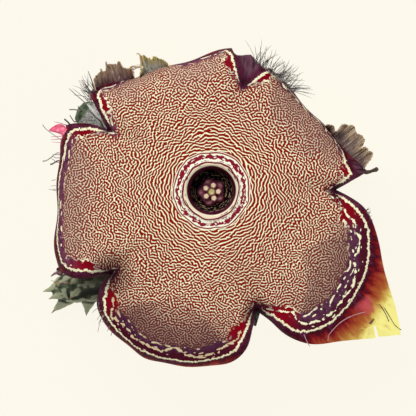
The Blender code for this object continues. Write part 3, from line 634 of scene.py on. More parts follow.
    # Rings round the mouth: the lip, thin maroon lines, a ragged maroon ring and the carpet's first line
    rings = n("ADD", n("MULTIPLY_ADD", n("TexNoise", flat, 0.2, 1.0), 1.6, radius), -0.8)
    frayed = n("ADD", n("MULTIPLY_ADD", ragged, 1.6, rings), -0.8)
    solid_half = n("MapRange", breaks, -0.15, 0.2, 0.4, 0.58)
    hole_half = n("MapRange", n("TexNoise", flat, 0.7, 1.0), 0.54, 0.66, 0.0, 0.22)
    solid, holes = (n("COMPARE", frayed, MAROON_RING, half) for half in (solid_half, hole_half))
    ring = n("Mix RGBA", n("SUBTRACT", solid, holes), "FFFEE6", "8C1A34")
    ring = n("Mix RGBA", n("COMPARE", rings, FIRST_LINE, 0.16), ring, "8E1418")
    polar = n("CombineXYZ", n("MULTIPLY", angle, 7.0), radius)
    ticks = n("MapRange", n("TexGabor 2D", polar, 0.8, 1.6, 0.9, pi / 2), 0.6, 0.64)
    # Painted highlight: the lip's inner edge is painted paler than the rest of the lip
    on_lip = n("MapRange", radius, 6.45, 6.65)
    lip_skin = n("Mix RGBA", on_lip, "FFF4D6", "F4E4C4")
    lip_skin = n("Mix RGBA", n("MULTIPLY", ticks, on_lip), lip_skin, "4A1A22")
    ring = n("Mix RGBA", n("MapRange", rings, LIP_END - 0.05, LIP_END + 0.05), lip_skin, ring)
    faint_line = n("COMPARE", rings, FAINT_LINE, n("MapRange", breaks, -0.05, 0.1, 0.0, 0.1))
    ring = n("Mix RGBA", n("MAXIMUM", n("COMPARE", rings, LIP_LINE, 0.2), faint_line), ring, "7A1A3C")
    surface = n("Mix RGBA", n("MapRange", rings, RINGS_END - 0.05, RINGS_END + 0.05), ring, carpet)

    # Inside of the tube: a maroon wall under the lip, then nearly black with short pale dashes, painted as glints
    # that are brighter on the lit side
    height = n("SeparateXYZ", place).outputs[2]
    wall = n("CombineXYZ", n("MULTIPLY", angle, 5.0), n("ADD", radius, height))
    glints = n("MapRange", n("TexGabor 2D", wall, 0.8, 1.5, 0.75, pi / 2), 0.6, 0.64)
    # Painted highlight: the glints are brightest on the side towards LIT_WAY
    glints = n("MULTIPLY", glints, n("MapRange", n("VectorMath DOT_PRODUCT", flat, LIT_WAY), -0.5, 0.7, 0.25))
    inner = n("Mix RGBA", glints, colours.tube, "E8C6A4")
    inner = n("Mix RGBA", n("MapRange", height, 24.2, 26.4), inner, "5E1636")
    surface = n("Mix RGBA", n("MapRange", radius, THROAT + 0.03, THROAT - 0.03), surface, inner)

    # Cream line, a rope near the notches and a broken chain between, and the margin outside it
    sway = n("TexNoise", n("CombineXYZ", run, 0.0), 0.55, 3.0, 0.7)
    strand = n("ADD", n("MULTIPLY_ADD", sway, 1.7, out), -0.85)
    rope = n("MULTIPLY", n("MapRange", notch, 1.8, 4.4), n("MapRange", notch, 11.0, 15.0, 1.15, thread))
    half = n("MapRange", n("TexNoise", flat, 1.6, 2.0), 0.3, 0.7, 0.08, sizes.cream_line / MM)
    cream_share = n("LESS_THAN", n("ABSOLUTE", strand), n("MULTIPLY", half, rope))
    cream_skin = n("Mix RGBA", n("MapRange", breaks, 0.0, 0.2, 0, 0.8), colours.cream, "D3C38E")
    outside = n("MapRange", strand, -0.1, 0.1)
    streaks = n("TexNoise", in_spokes(n, flat, 45.0, 0.3), 0.7, 5.0, 0.6)
    reach = n("ADD", n("MULTIPLY_ADD", streaks, 8.0, out), -4.0)
    reach = n("MULTIPLY", reach, n("MapRange", notch, 4.0, 14.0, 0.15))
    margin = n("ValToRGB", n("MapRange", reach, 0.0, 14.0), stops=(
        (0.0, colours.maroon), (0.8, colours.straw), (0.07, "420A1C"), (0.17, "80161F"), (0.25, "A0342A"),
        (0.36, "B4562E"), (0.49, "C97E40"), (0.62, "E2BC58")))
    mottle = n("MULTIPLY", n("MapRange", dimmed, 0.1, 0.7, 0, 0.45), n("MapRange", reach, 5.0, 1.0))
    grain = n("MULTIPLY", n("MapRange", streaks, 0.55, 0.72, 0, 0.6), n("MapRange", reach, 4.0, 7.0))
    blush = n("VectorMath DISTANCE", n("VectorMath MULTIPLY", place, LEVEL), BLUSH_SPOT)
    blush = n("MapRange", n("MULTIPLY_ADD", patchy, 3.0, blush), 4.2, 2.4, 0, 0.8)
    # Painted shade: beside the notches the margin turns dark purple-brown, partly the pleat's own colour, partly shade
    web = n("MULTIPLY", n("MapRange", out, 1.2, 2.4), n("MapRange", notch, 16.0, 10.0))
    shaded_web_skin = n("Mix RGBA", n("MapRange", streaks, 0.4, 0.62), "331824", "6A4456")
    for share, skin in ((mottle, "260510"), (grain, "C49A48"), (blush, "DC5A68"), (web, shaded_web_skin)):
        margin = n("Mix RGBA", share, margin, skin)
    # Painted shade: the hollow at each notch's tip is painted near black, as far as that notch's shade reaches
    painted_notch_shade = n("MapRange", crease, 0.8, 4.6, 0.85, 0.0)
    for share, skin in ((outside, margin), (cream_share, cream_skin), (painted_notch_shade, "1E0A10")):
        surface = n("Mix RGBA", share, surface, skin)
    wear(surface, n("Mix", cream_share, ground_share, 1.6), 0.06)

    # Painted light: the thin yellow tip glows a little, to show brighter than the lamps make it
    shader = made.node_tree.nodes["Principled BSDF"]
    shader.inputs["Emission Color"].default_value = colours.straw
    through = n("MULTIPLY", n("MapRange", reach, 7.0, 11.0, 0, 0.2), outside)
    made.node_tree.links.new(through.outputs[0], shader.inputs["Emission Strength"])
    return made


def petal_back(colours):
    """Underside of the petal: matt, pale green flesh with maroon veins and flecks."""
    made, n, wear = new_material("fleshy_petal_under", 0.6, 0.25)
    flat = stored(n, "flat")
    veins = n("TexNoise", in_spokes(n, flat, 9.0, 0.06), 1.0, 5.0, 0.6)
    share = n("MapRange", n("MULTIPLY", veins, n("TexNoise", flat, 0.9, 3.0)), 0.22, 0.34)
    wear(n("Mix RGBA", share, "6E3340", colours.underside), veins, 0.3)
    return made


def flesh(name, roughness, main, spot, scale, low, high, bump):
    """Plain living tissue with soft spots, their scale in spots per millimetre."""
    made, n, wear = new_material(name, roughness, 0.3)
    spots = n("TexNoise", own_place(n), scale, 3.0)
    wear(n("Mix RGBA", n("MapRange", spots, low, high), main, spot), spots, bump)
    return made


def stem_skin(colours):
    """Succulent stem: waxy grey-green ridges with pale bloom and painted highlight, furrows dark with painted shade,
    pale teeth, a hairy grey flank and painted shadow where it runs under the corolla.
    """
    made, n, wear = new_material("waxy_succulent_stem", 0.5, 0.35)
    place = own_place(n)
    x, y, _ = n("SeparateXYZ", place).outputs
    tooth, ridge, flank = n("SeparateXYZ", stored(n, "growth")).outputs
    mottle = n("TexNoise", place, 0.55, 5.0, 0.65)
    fine = n("TexNoise", place, 2.2, 3.0)
    # Painted shade and highlight: the relief's hollows are painted dark and its crests pale, besides the waxy bloom
    crest = n("MapRange", n("MULTIPLY_ADD", mottle, 0.9, ridge), 0.6, 1.15)
    bloom_and_highlight = n("MapRange", crest, 0.7, 1.0, 0, 0.6)
    wax = n("MapRange", n("MULTIPLY_ADD", mottle, 1.6, tooth), 1.05, 1.6)
    wax = n("MULTIPLY", wax, n("MapRange", crest, 0, 1, 0.2))
    # The stem turns darker green from 4 to 9 mm up the view
    darker_green_upwards = n("MapRange", y, 4.0, 9.0, 0, 0.85)
    # Painted shadow: the stem turns near black where it runs in under the corolla
    painted_shadow_under_corolla = n("MapRange", n("VectorMath LENGTH", n("VectorMath MULTIPLY", place, LEVEL)), 42.0, 35.5)
    painted_shadow_under_corolla = n("MULTIPLY", n("MULTIPLY", painted_shadow_under_corolla, n("MapRange", y, 2.0, -4.0)), 0.92)
    web = n("Mix RGBA", n("MapRange", fine, 0.35, 0.65), "6E6A68", "C3C7C2")
    dead = n("MapRange", x, 12.0, 17.0)
    bark = n("Mix RGBA", crest, "150E0C", "4A3A32")
    surface = n("Mix RGBA", crest, "1E2618", colours.stem)
    for share, skin in ((bloom_and_highlight, "C2C8AC"), (wax, colours.tooth), (darker_green_upwards, "2C4426"), (painted_shadow_under_corolla, "1A100D"),
                        (flank, web), (dead, bark)):
        surface = n("Mix RGBA", share, surface, skin)
    wear(surface, fine, 0.3)
    return made


def scrap_skin(name, foot, middle, edge, pale):
    """Dead tissue: dry, matt and striped darker and paler across its width."""
    made, n, wear = new_material(name, 0.85, 0.15)
    across, share, out = n("SeparateXYZ", stored(n, "torn")).outputs
    stripes = n("TexNoise", n("CombineXYZ", across, n("MULTIPLY", out, 0.22)), 1.7, 5.0, 0.7)
    blotch = n("TexNoise", n("CombineXYZ", across, out), 0.5, 3.0)
    surface = n("ValToRGB", n("ADD", n("MULTIPLY_ADD", blotch, 0.8, share), -0.35),
                stops=((0.0, foot), (1.0, edge), (0.5, middle)))
    dark = n("MULTIPLY", n("MapRange", stripes, 0.48, 0.38), 0.6)
    for share, skin in ((dark, "2E2022"), (n("MapRange", stripes, 0.58, 0.68, 0, 0.85), pale)):
        surface = n("Mix RGBA", share, surface, skin)
    wear(surface, stripes, 0.4)
    return made


def tinted(name, roughness, wear_share=0.4):
    """Hairs, threads, thin scales and waxy knobs, each with the tint stored on it."""
    made, n, wear = new_material(name, roughness, 0.2)
    worn = n("TexNoise", own_place(n), 1.3, 3.0)
    share = n("MapRange", worn, 0.45, 0.75, 0, wear_share)
    wear(n("Mix RGBA", share, n("Attribute tint").outputs["Color"], "F3ECE4"), worn, 0.1)
    return made


def values_of(elements, name, size, kind=float):
    """One property of a mesh's points, edges or faces, a row for each."""
    values = np.empty(len(elements) * size, kind)
    elements.foreach_get(name, values)
    return values.reshape(-1, size)


def only(item):
    """Selects one object alone and makes it the active one."""
    bpy.ops.object.select_all(action="DESELECT")
    item.select_set(True)
    bpy.context.view_layer.objects.active = item


def new_grid(name, columns, rows):
    """A grid that starts as Blender's own, with the column and row of each of its points."""
    bpy.ops.object.select_all(action="DESELECT")
    bpy.ops.mesh.primitive_grid_add(x_subdivisions=columns, y_subdivisions=rows, size=1.0)
    item = bpy.context.object
    item.name = item.data.name = name
    across, along, _ = values_of(item.data.vertices, "co", 3).T + 0.5
    return item, np.rint(across * columns).astype(int), np.rint(along * rows).astype(int)


def put_points(item, places):
    """Moves a mesh's points to places given in millimetres."""
    item.data.vertices.foreach_set("co", (places * MM).ravel())
    item.data.update()


def points_of(item):
    """A mesh's points in millimetres."""
    return values_of(item.data.vertices, "co", 3) / MM


def keep_values(item, name, *columns):
    """Stores three numbers at each point for the materials."""
    layer = item.data.attributes.new(name, "FLOAT_VECTOR", "POINT")
    layer.data.foreach_set("vector", np.column_stack(columns).astype(np.float32).ravel())


def put_tint(item, main, other, share):
    """Stores a colour at each point, mixed from two."""
    keep_values(item, "tint", np.array(main[:3]) + np.subtract(other[:3], main[:3]) * np.clip(share, 0, 1)[:, None])


def copies(model, all_places):
    """Copies of a model, their meshes too, with the points of each in places of their own. The model goes."""
    items = []
    for places in all_places:
        items.append(model.copy())
        items[-1].data = model.data.copy()
        bpy.context.scene.collection.objects.link(items[-1])
        put_points(items[-1], places)
    bpy.data.objects.remove(model)
    return items


def facing(places, azimuth):
    """Places turned round the middle to an azimuth."""
    across = heading(azimuth)
    return np.column_stack((places[:, :2] @ np.array((across, left_of(across))), places[:, 2]))


def join(items, name):
    """Makes one object of several."""
    only(items[0])
    for item in items:
        item.select_set(True)
    bpy.ops.object.join()
    items[0].name = items[0].data.name = name
    return items[0]


def merge_and_turn(item, turn_out=False):
    """Closes seams and poles, and turns closed shells outwards."""
    only(item)
    bpy.ops.object.mode_set(mode="EDIT")
    bpy.ops.mesh.select_all(action="SELECT")
    bpy.ops.mesh.remove_doubles(threshold=SEAM)
    if turn_out:
        bpy.ops.mesh.normals_make_consistent(inside=False)
    bpy.ops.object.mode_set(mode="OBJECT")


def apply_modifier(item, kind, **settings):
    """Adds a modifier and applies it."""
    only(item)
    modifier = item.modifiers.new(kind.lower(), kind)
    for name, value in settings.items():
        setattr(modifier, name, value)
    bpy.ops.object.modifier_apply(modifier=modifier.name)


def turned(name, profile, columns, lobing=0.0, turn=0.0):
    """A turned shape from a profile of (radius, height), with five lobes if asked."""
    item, column, row = new_grid(name, columns, len(profile) - 1)
    angle = 2 * pi * column / columns
    radius, height = np.array(profile, float)[row].T
    radius = radius * (1 + lobing * np.cos(5 * (angle - radians(turn))))
    put_points(item, np.column_stack((radius * np.cos(angle), radius * np.sin(angle), height)))
    merge_and_turn(item, True)
    return item


def keep(item, slot, *nodes):
    """Finishes a piece: smooth shading, its body and the nodes it stands for. The slot is not used."""
    only(item)
    bpy.ops.object.shade_smooth_by_angle(angle=radians(SMOOTH_ANGLE))
    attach(item, "root")
    if nodes:
        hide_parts(*nodes)


def torn_columns(places, column, row):
    """Draws two neighbouring lines of the sheet together along the tear, and marks their points beyond its start."""
    start, end = np.array(TEAR[0]), np.array(TEAR[1])
    last = row.max()
    rim = np.flatnonzero(row == last)
    first = column[rim[np.hypot(*(places[rim, :2] - end).T).argmin()]]
    line = np.flatnonzero((column == first) & (row > last - BAND_ROWS))
    line = line[row[line].argsort()]
    begins = row[line[np.hypot(*(places[line, :2] - start).T).argmin()]]
    course = unit(end - start)
    marked = np.zeros(len(places), bool)
    for number, side in ((first, -0.5), (first + 1, 0.5)):
        points = np.flatnonzero((column == number) & (row >= begins))
        share = (row[points] - begins)[:, None] / (last - begins)
        places[points, :2] = start + (end - start) * share + left_of(course) * side * TEAR_WIDTH * share ** 0.7
        marked[points] = True
    return marked


def cut_faces(item, marked):
    """Removes the faces whose corners are all marked."""
    corners = values_of(item.data.polygons, "vertices", 4, int)
    bpy.ops.object.mode_set(mode="EDIT")
    bpy.ops.mesh.select_mode(type="FACE")
    bpy.ops.mesh.select_all(action="DESELECT")
    bpy.ops.object.mode_set(mode="OBJECT")
    item.data.polygons.foreach_set("select", marked[corners].all(axis=1))
    bpy.ops.object.mode_set(mode="EDIT")
    bpy.ops.mesh.delete(type="FACE")
    bpy.ops.mesh.select_mode(type="VERT")
    bpy.ops.object.mode_set(mode="OBJECT")


class FLOWER_OT_corolla(bpy.types.Operator):
    """One fine sheet with its carpet of lines, cream line and ruffled margin"""
    bl_idname = "flower.corolla"
    bl_label = "Corolla"

    def execute(self, context):
        columns, rows = 5 * COLUMNS_PER_LOBE, TUBE_ROWS + DISC_ROWS + BAND_ROWS
        item, column, row = new_grid("corolla_sheet", columns, rows)
        column = (columns - column) % columns
        lines = []
        for number in range(5):
            lines += [sheet_column(number, 2 * k / COLUMNS_PER_LOBE - 1) for k in range(COLUMNS_PER_LOBE)]
        flat = np.array([line[0] for line in lines])[column, row]
        lift = np.array([line[1] for line in lines])[column, row]
        run, out, to_notch = rim_values(flat)
        out = out * np.where(row > TUBE_ROWS + DISC_ROWS, 1, -1)
        lift = lift + CREAM_RIDGE * np.exp(-(out / 0.7) ** 2) * (row > TUBE_ROWS)
        tips = np.array([heading(notch.azimuth) * notch.radius for notch in NOTCHES])
        shades = np.array([notch.shade for notch in NOTCHES])
        to_crease = (np.hypot(*(flat[:, None] - tips[None]).transpose(2, 0, 1)) / shades).min(axis=1)
        places = lay(flat, lift)
        places[:, 2] = np.maximum(places[:, 2], WALL * THIN_EDGE + CLEARANCE)
        tear = torn_columns(places, column, row)
        put_points(item, places)
        cut_faces(item, tear)
        dusk, band, far, thread = (lobe_blend(flat, [getattr(lobe, name) for lobe in LOBES])
                                   for name in ("dusk", "band", "far", "thread"))
        nothing = np.zeros(len(flat))
        keep_values(item, "flat", flat, nothing)
        keep_values(item, "rim", run, out, to_notch)
        keep_values(item, "lobe", dusk, band, to_crease)
        keep_values(item, "rim_look", far, thread, nothing)
        thick = item.vertex_groups.new(name="thick")
        share = 1 - (1 - THIN_EDGE) * ease(-4, 6, out)
        for index, weight in enumerate(share):
            thick.add((index,), float(weight), "REPLACE")
        merge_and_turn(item)
        colours, sizes = context.scene.flower_colours, context.scene.flower_sizes
        item.data.materials.append(petal_skin(sizes, colours))
        item.data.materials.append(petal_back(colours))
        apply_modifier(item, "SOLIDIFY", thickness=WALL * MM, offset=-1.0, vertex_group="thick",
                       material_offset=1, material_offset_rim=0)
        keep(item, "corolla", "corolla")
        return {"FINISHED"}


class FLOWER_OT_centre(bpy.types.Operator):
    """Dark five-lobed corona and the pale column with its five knobs"""
    bl_idname = "flower.centre"
    bl_label = "Corona and column"

    def execute(self, context):
        colours = context.scene.flower_colours
        base = DISC_HEIGHT + TUBE[0][1] + GAP
        top = base + CORONA_HEIGHT
        corona = turned("corona_disc", [(0, base), (CORONA_RADIUS, base), (CORONA_RADIUS, base + 0.3),
                                        (3.12, top - 0.45), (2.95, top - 0.15), (2.72, top), (2.45, top - 0.05),
                                        (2.2, top - 0.18), (1.9, top - 0.25), (1.4, top - 0.22), (0, top - 0.2)],
                        80, CORONA_LOBING, CORONA_TURN)
        shape = points_of(corona)
        # Painted highlights: pale pink spots on the corona, between its lobes
        spots = np.array([heading(KNOB_TURN + SECTOR * (k + 0.5)) * 2.75 for k in range(5)])
        near = np.hypot(*(shape[:, None, :2] - spots).transpose(2, 0, 1)).min(axis=1)
        put_tint(corona, colours.corona, hex_colour("D9909A"), np.exp(-(near / 0.5) ** 2))
        put_points(corona, shape + CENTRE_SHIFT)
        corona.data.materials.append(tinted("waxy_corona", 0.4, 0.15))
        keep(corona, "corona", "corona")

        seat = top + GAP
        wide, narrow = COLUMN_RADII
        crown = seat + COLUMN_HEIGHT
        column = turned("column", [(0, seat), (wide, seat), (wide, seat + 0.25), (narrow, crown - 0.3),
                                   (narrow * 0.75, crown - 0.05), (0.5, crown), (0.3, crown - 0.1), (0, crown - 0.22)],
                        40, 0.07, KNOB_TURN + SECTOR / 2)
        shape = points_of(column)
        put_tint(column, hex_colour("D2CE84"), hex_colour("7A2838"), ease(0.5, 0.95, np.hypot(*shape[:, :2].T)))
        put_points(column, shape + CENTRE_SHIFT)
        bpy.ops.object.select_all(action="DESELECT")
        bpy.ops.mesh.primitive_uv_sphere_add(segments=20, ring_count=12, radius=KNOB_RADIUS * MM)
        model = bpy.context.object
        skin = tinted("waxy_column_and_knobs", 0.35, 0.15)
        column.data.materials.append(skin)
        model.data.materials.append(skin)
        ball = points_of(model)
        side = np.arctan2(ball[:, 1], ball[:, 0])
        off = np.hypot(ball[:, 0], ball[:, 1])
        put_tint(model, colours.knob, hex_colour("B0485A"), ease(0.45, 0.78, off) + 0.5 * ease(0.2, 0.05, off))
        ball[:, :2] *= (1 + 0.07 * np.cos(5 * side))[:, None]
        ball[:, 2] -= 0.3 * np.exp(-(off / 0.24) ** 2) * (ball[:, 2] > 0)
        knobs = []
        for azimuth in range(0, 360, SECTOR):
            spot = np.array((*(heading(KNOB_TURN + azimuth) * KNOB_RING), seat + KNOB_LIFT)) + CENTRE_SHIFT
            knobs.append(facing(ball, KNOB_TURN + azimuth) + spot)
        keep(join([column, *copies(model, knobs)], "gynostegium_column"), "gynostegium", "gynostegium")
        return {"FINISHED"}


class FLOWER_OT_calyx(bpy.types.Operator):
    """Pedicel, receptacle and five cupped sepals under the tube"""
    bl_idname = "flower.calyx"
    bl_label = "Calyx"

    def execute(self, context):
        tube_foot = DISC_HEIGHT + TUBE[0][1] - WALL - GAP
        seat = tube_foot - RECEPTACLE_HEIGHT
        low, high = PEDICEL_RADII
        neck, rim = RECEPTACLE_RADII
        foot = HUB_HEIGHT + HUB_RADIUS + GAP
        pedicel = turned("pedicel", [(0, foot), (low, foot), (low * 0.93, foot + 1.2), (high, seat - 1.6),
                                     (high * 1.08, seat - 0.4), (neck, seat + 0.3), (rim, tube_foot - 0.2),
                                     (rim, tube_foot), (0, tube_foot)], 36, 0.04)
        line = curve_points(SEPAL, lambda span: 5)
        model, column, row = new_grid("sepal", 10, len(line) - 1)
        radius, drop, half = line[row].T
        off = (column / 5 - 1) * half
        put_points(model, np.column_stack((radius - SEPAL_CUP * off * off * 2, off, DISC_HEIGHT + drop)))
        merge_and_turn(model)
        apply_modifier(model, "SOLIDIFY", thickness=SEPAL_WALL * MM, offset=-1.0)
        shape = points_of(model)
        sepals = copies(model, [facing(shape, notch.azimuth) for notch in NOTCHES])
        item = join([pedicel, *sepals], "calyx_and_pedicel")
        item.data.materials.append(flesh("herbaceous_sepal", 0.55, "6F7A48", "6A3A3C", 0.7, 0.45, 0.7, 0.3))
        keep(item, "calyx", "calyx")
        return {"FINISHED"}


def tooth_axes(points, stop, rng):
    """Foot, point and width of each tooth on a shoot's ridges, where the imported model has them."""
    spots = curve_points(points, lambda span: max(2, round(span / SHOOT_STEP)))
    result, run, due = [], 0.0, FIRST_TOOTH
    for before, after in zip(spots, spots[1:]):
        run += np.linalg.norm(after - before)
        if run < due or run > stop:
            continue
        due += TOOTH_SPACING
        along = unit((after - before)[:3])
        side = unit(np.array((-along[1], along[0], 0.0)))
        for number in range(5):
            angle = radians(90 + SECTOR * number)
            out = side * cos(angle) + np.array((0, 0, sin(angle)))
            if out[2] < 0:
                out = unit(out * (1, 1, 0.15))
            lean = unit(out + along * rng.uniform(0.35, 0.6))
            root = after[:3] + out * after[3] * TOOTH_SINK
            if sin(angle) < 0:
                root[2] = max(after[2] - after[3] / 2, LOWEST_TOOTH)
            size = TOOTH_LENGTH * rng.uniform(0.8, 1.1)
            result.append((root, root + lean * (size + after[3] * (1 - TOOTH_SINK)), TOOTH_BASE))
    return result


def above_floor(places):
    """Places, none of them under the resting surface."""
    return np.maximum(places, (-np.inf, -np.inf, 0))


def tapering(foot, point, start, shape):
    """A straight path from foot to point whose thickness follows a shape."""
    foot, point = np.array(foot, float), np.array(point, float)
    share = np.linspace(start, 1, len(shape))[:, None]
    return np.column_stack((foot + (point - foot) * share, shape))


def hollow_values(item):
    """How far each point lies under the smoothed surface, in millimetres: hollows above 0, crests below."""
    places = smooth = points_of(item)
    ends = values_of(item.data.edges, "vertices", 2, int)
    here, there = np.vstack((ends, ends[:, ::-1])).T
    count = np.bincount(here, minlength=len(places))
    for _ in range(SMOOTHINGS):
        smooth = np.column_stack([np.bincount(here, line[there], len(places)) / count for line in smooth.T])
    return ((smooth - places) * values_of(item.data.vertices, "normal", 3)).sum(axis=1)


def growth_values(item, teeth):
    """How far up a tooth each point of the stem lies, how much on a crest and how much on the hairy flank."""
    places = points_of(item)
    tooth = np.zeros(len(places))
    for foot, point, width in teeth:
        axis = np.subtract(point, foot)
        share = np.clip((places - foot) @ axis / (axis @ axis), 0, 1)
        off = np.linalg.norm(places - foot - share[:, None] * axis, axis=1)
        tooth = np.maximum(tooth, share * ease(1.6, 1.1, off / (width * (1.1 - share))))
    crest = ease(0.1, -0.32, hollow_values(item))
    flank = ease(*HAIRY_FLANK, places[:, 0] * 0.8 - places[:, 1] * 0.6) * ease(4, 9, places[:, 1])
    return tooth, crest, flank


class FLOWER_OT_stem(bpy.types.Operator):
    """Branched, ridged stem with fleshy teeth that end in horny points"""
    bl_idname = "flower.stem"
    bl_label = "Stem"

    def execute(self, context):
        colours = context.scene.flower_colours
        rng = random.Random(7)
        steps = np.linspace(0, pi, 25)
        hub = turned("hub", [(HUB_RADIUS * sin(s), max(HUB_HEIGHT - HUB_RADIUS * cos(s), 0)) for s in steps], 40)
        model, column, row = new_grid("shoot", SHOOT_COLUMNS, SHOOT_ROWS)
        shoots = []
        for points in (GROWING_SHOOT, SIDE_SHOOT, CUT_SHOOT, DRIED_SHOOT):
            path = even_path(points, SHOOT_ROWS)
            path[(0, -1), 3] = 0
            shoots.append(above_floor(tube_places(path, column, row, SHOOT_COLUMNS, True)))
        shoots = copies(model, shoots)
        teeth = []
        for points, stop in TOOTHED_SHOOTS:
            teeth += tooth_axes(points, stop, rng)
        teeth += TIP_TEETH
        model, column, row = new_grid("tooth", 14, 10)
        fleshy = []
        for foot, point, width in teeth:
            shape = 1.12 * width * (1 - np.linspace(0, 1, 11)) ** 1.25 + 0.14
            shape[(0, -1),] = 0
            fleshy.append(tube_places(tapering(foot, point, 0.0, shape), column, row, 14))
        stem = join([hub, *shoots, *copies(model, fleshy)], "fleshy_stem")
        merge_and_turn(stem, True)
        apply_modifier(stem, "REMESH", mode="VOXEL", voxel_size=VOXEL * MM)
        apply_modifier(stem, "SMOOTH", factor=0.5, iterations=2)
        wrinkles = bpy.data.textures.new("wrinkles", "CLOUDS")
        wrinkles.noise_scale = WRINKLE_SIZE * MM
        apply_modifier(stem, "DISPLACE", texture=wrinkles, strength=WRINKLE_DEPTH * MM, mid_level=0.5,
                       texture_coords="LOCAL")
        put_points(stem, above_floor(points_of(stem)))
        keep_values(stem, "growth", *growth_values(stem, teeth))
        stem.data.materials.append(stem_skin(colours))

        model, column, row = new_grid("spine", 7, len(SPINE) - 1)
        spines = [tube_places(tapering(foot, point, SPINE_START, SPINE), column, row, 7) for foot, point, _ in teeth]
        spines = join(copies(model, spines), "spines")
        merge_and_turn(spines, True)
        spines.data.materials.append(flesh("horny_spine", 0.45, colours.tan_spine, "8A5A4A", 1.2, 0.4, 0.7, 0.05))
        keep(join([stem, spines], "fleshy_stem"), "stem", "stem")
        return {"FINISHED"}


def torn_sheet(name, fold, outline, skin):
    """A thin torn sheet from where a lobe turns under out to an outline."""
    columns, rows = SCRAP_COLUMNS, SCRAP_ROWS
    along = heading(fold.azimuth)
    ends = np.array(outline, float)
    run = np.concatenate(((0,), np.cumsum(np.hypot(*np.diff(ends, axis=0).T))))
    step = np.linspace(0, run[-1], columns + 1)
    rng = np.random.default_rng(len(outline))
    edge = np.column_stack([np.interp(step, run, line) for line in ends.T])
    edge[1:-1] += rng.normal(0, SCRAP_JAG, (columns - 1, 2))
    feet = np.column_stack((np.linspace(ends[0, 0], ends[-1, 0], columns + 1) * 0.7 + edge[:, 0] * 0.3,
                            np.full(columns + 1, fold.start + fold.radius - SCRAP_OVERLAP)))
    item, column, row = new_grid(name, columns, rows)
    share = row / rows
    spot = feet[column] + (edge[column] - feet[column]) * share[:, None]
    ripple = (0.35 * np.sin(spot[:, 0] * 4.1) + 0.25 * np.sin(spot[:, 0] * 9.3 + 1.3 * share)) * share
    height = DISC_HEIGHT - fold.radius - SCRAP_DROP + SCRAP_RISE * share ** 1.4 + ripple
    flat = spot[:, :1] * left_of(along) + spot[:, 1:] * along
    put_points(item, np.column_stack((flat, height)))
    keep_values(item, "torn", spot[:, 0], share, spot[:, 1])
    merge_and_turn(item)
    item.data.materials.append(skin)
    apply_modifier(item, "SOLIDIFY", thickness=SCRAP_WALL * MM, offset=0.0)
    return item


class FLOWER_OT_scraps(bpy.types.Operator):
    """Withered, torn sheets that cling to the top and the upper right lobe"""
    bl_idname = "flower.scraps"
    bl_label = "Withered scraps"

    def execute(self, context):
        brown = torn_sheet("brown_scrap", FOLDS[1], BROWN_SCRAP,
                           scrap_skin("withered_brown", "6C4252", "A0857C", "C8AE92", "E2D6C6"))
        green = torn_sheet("green_scrap", FOLDS[1], GREEN_SCRAP,
                           scrap_skin("withered_green", "B4BEB4", "CCD0C4", "DCCE88", "FFFFFF"))
        keep(join([brown, green], "withered_scrap_sheet_top"), "withered", "withered_scrap_top")
        side = torn_sheet("withered_scrap_sheet_side", FOLDS[0], SIDE_SCRAP,
                          scrap_skin("withered_tan", "5E4650", "A08C80", "CCB496", "F0EAE4"))
        keep(side, "withered", "withered_scrap_side")
        return {"FINISHED"}


def height_over(x, y, otherwise):
    """Height of the corolla over a point, in millimetres."""
    hit, place, *_ = bpy.data.objects["corolla_sheet"].ray_cast((x * MM, y * MM, ABOVE_ALL * MM), (0, 0, -1))
    return place[2] / MM if hit else otherwise


def nearest_skin(point):
    """The place on the corolla, the stem or the top scrap that lies nearest to a point, in millimetres."""
    places = []
    for name in ("corolla_sheet", "fleshy_stem", "withered_scrap_sheet_top"):
        _, place, *_ = bpy.data.objects[name].closest_point_on_mesh(Vector(point) * MM)
        places.append(np.array(place) / MM)
    return min(places, key=lambda place: np.linalg.norm(place - point))


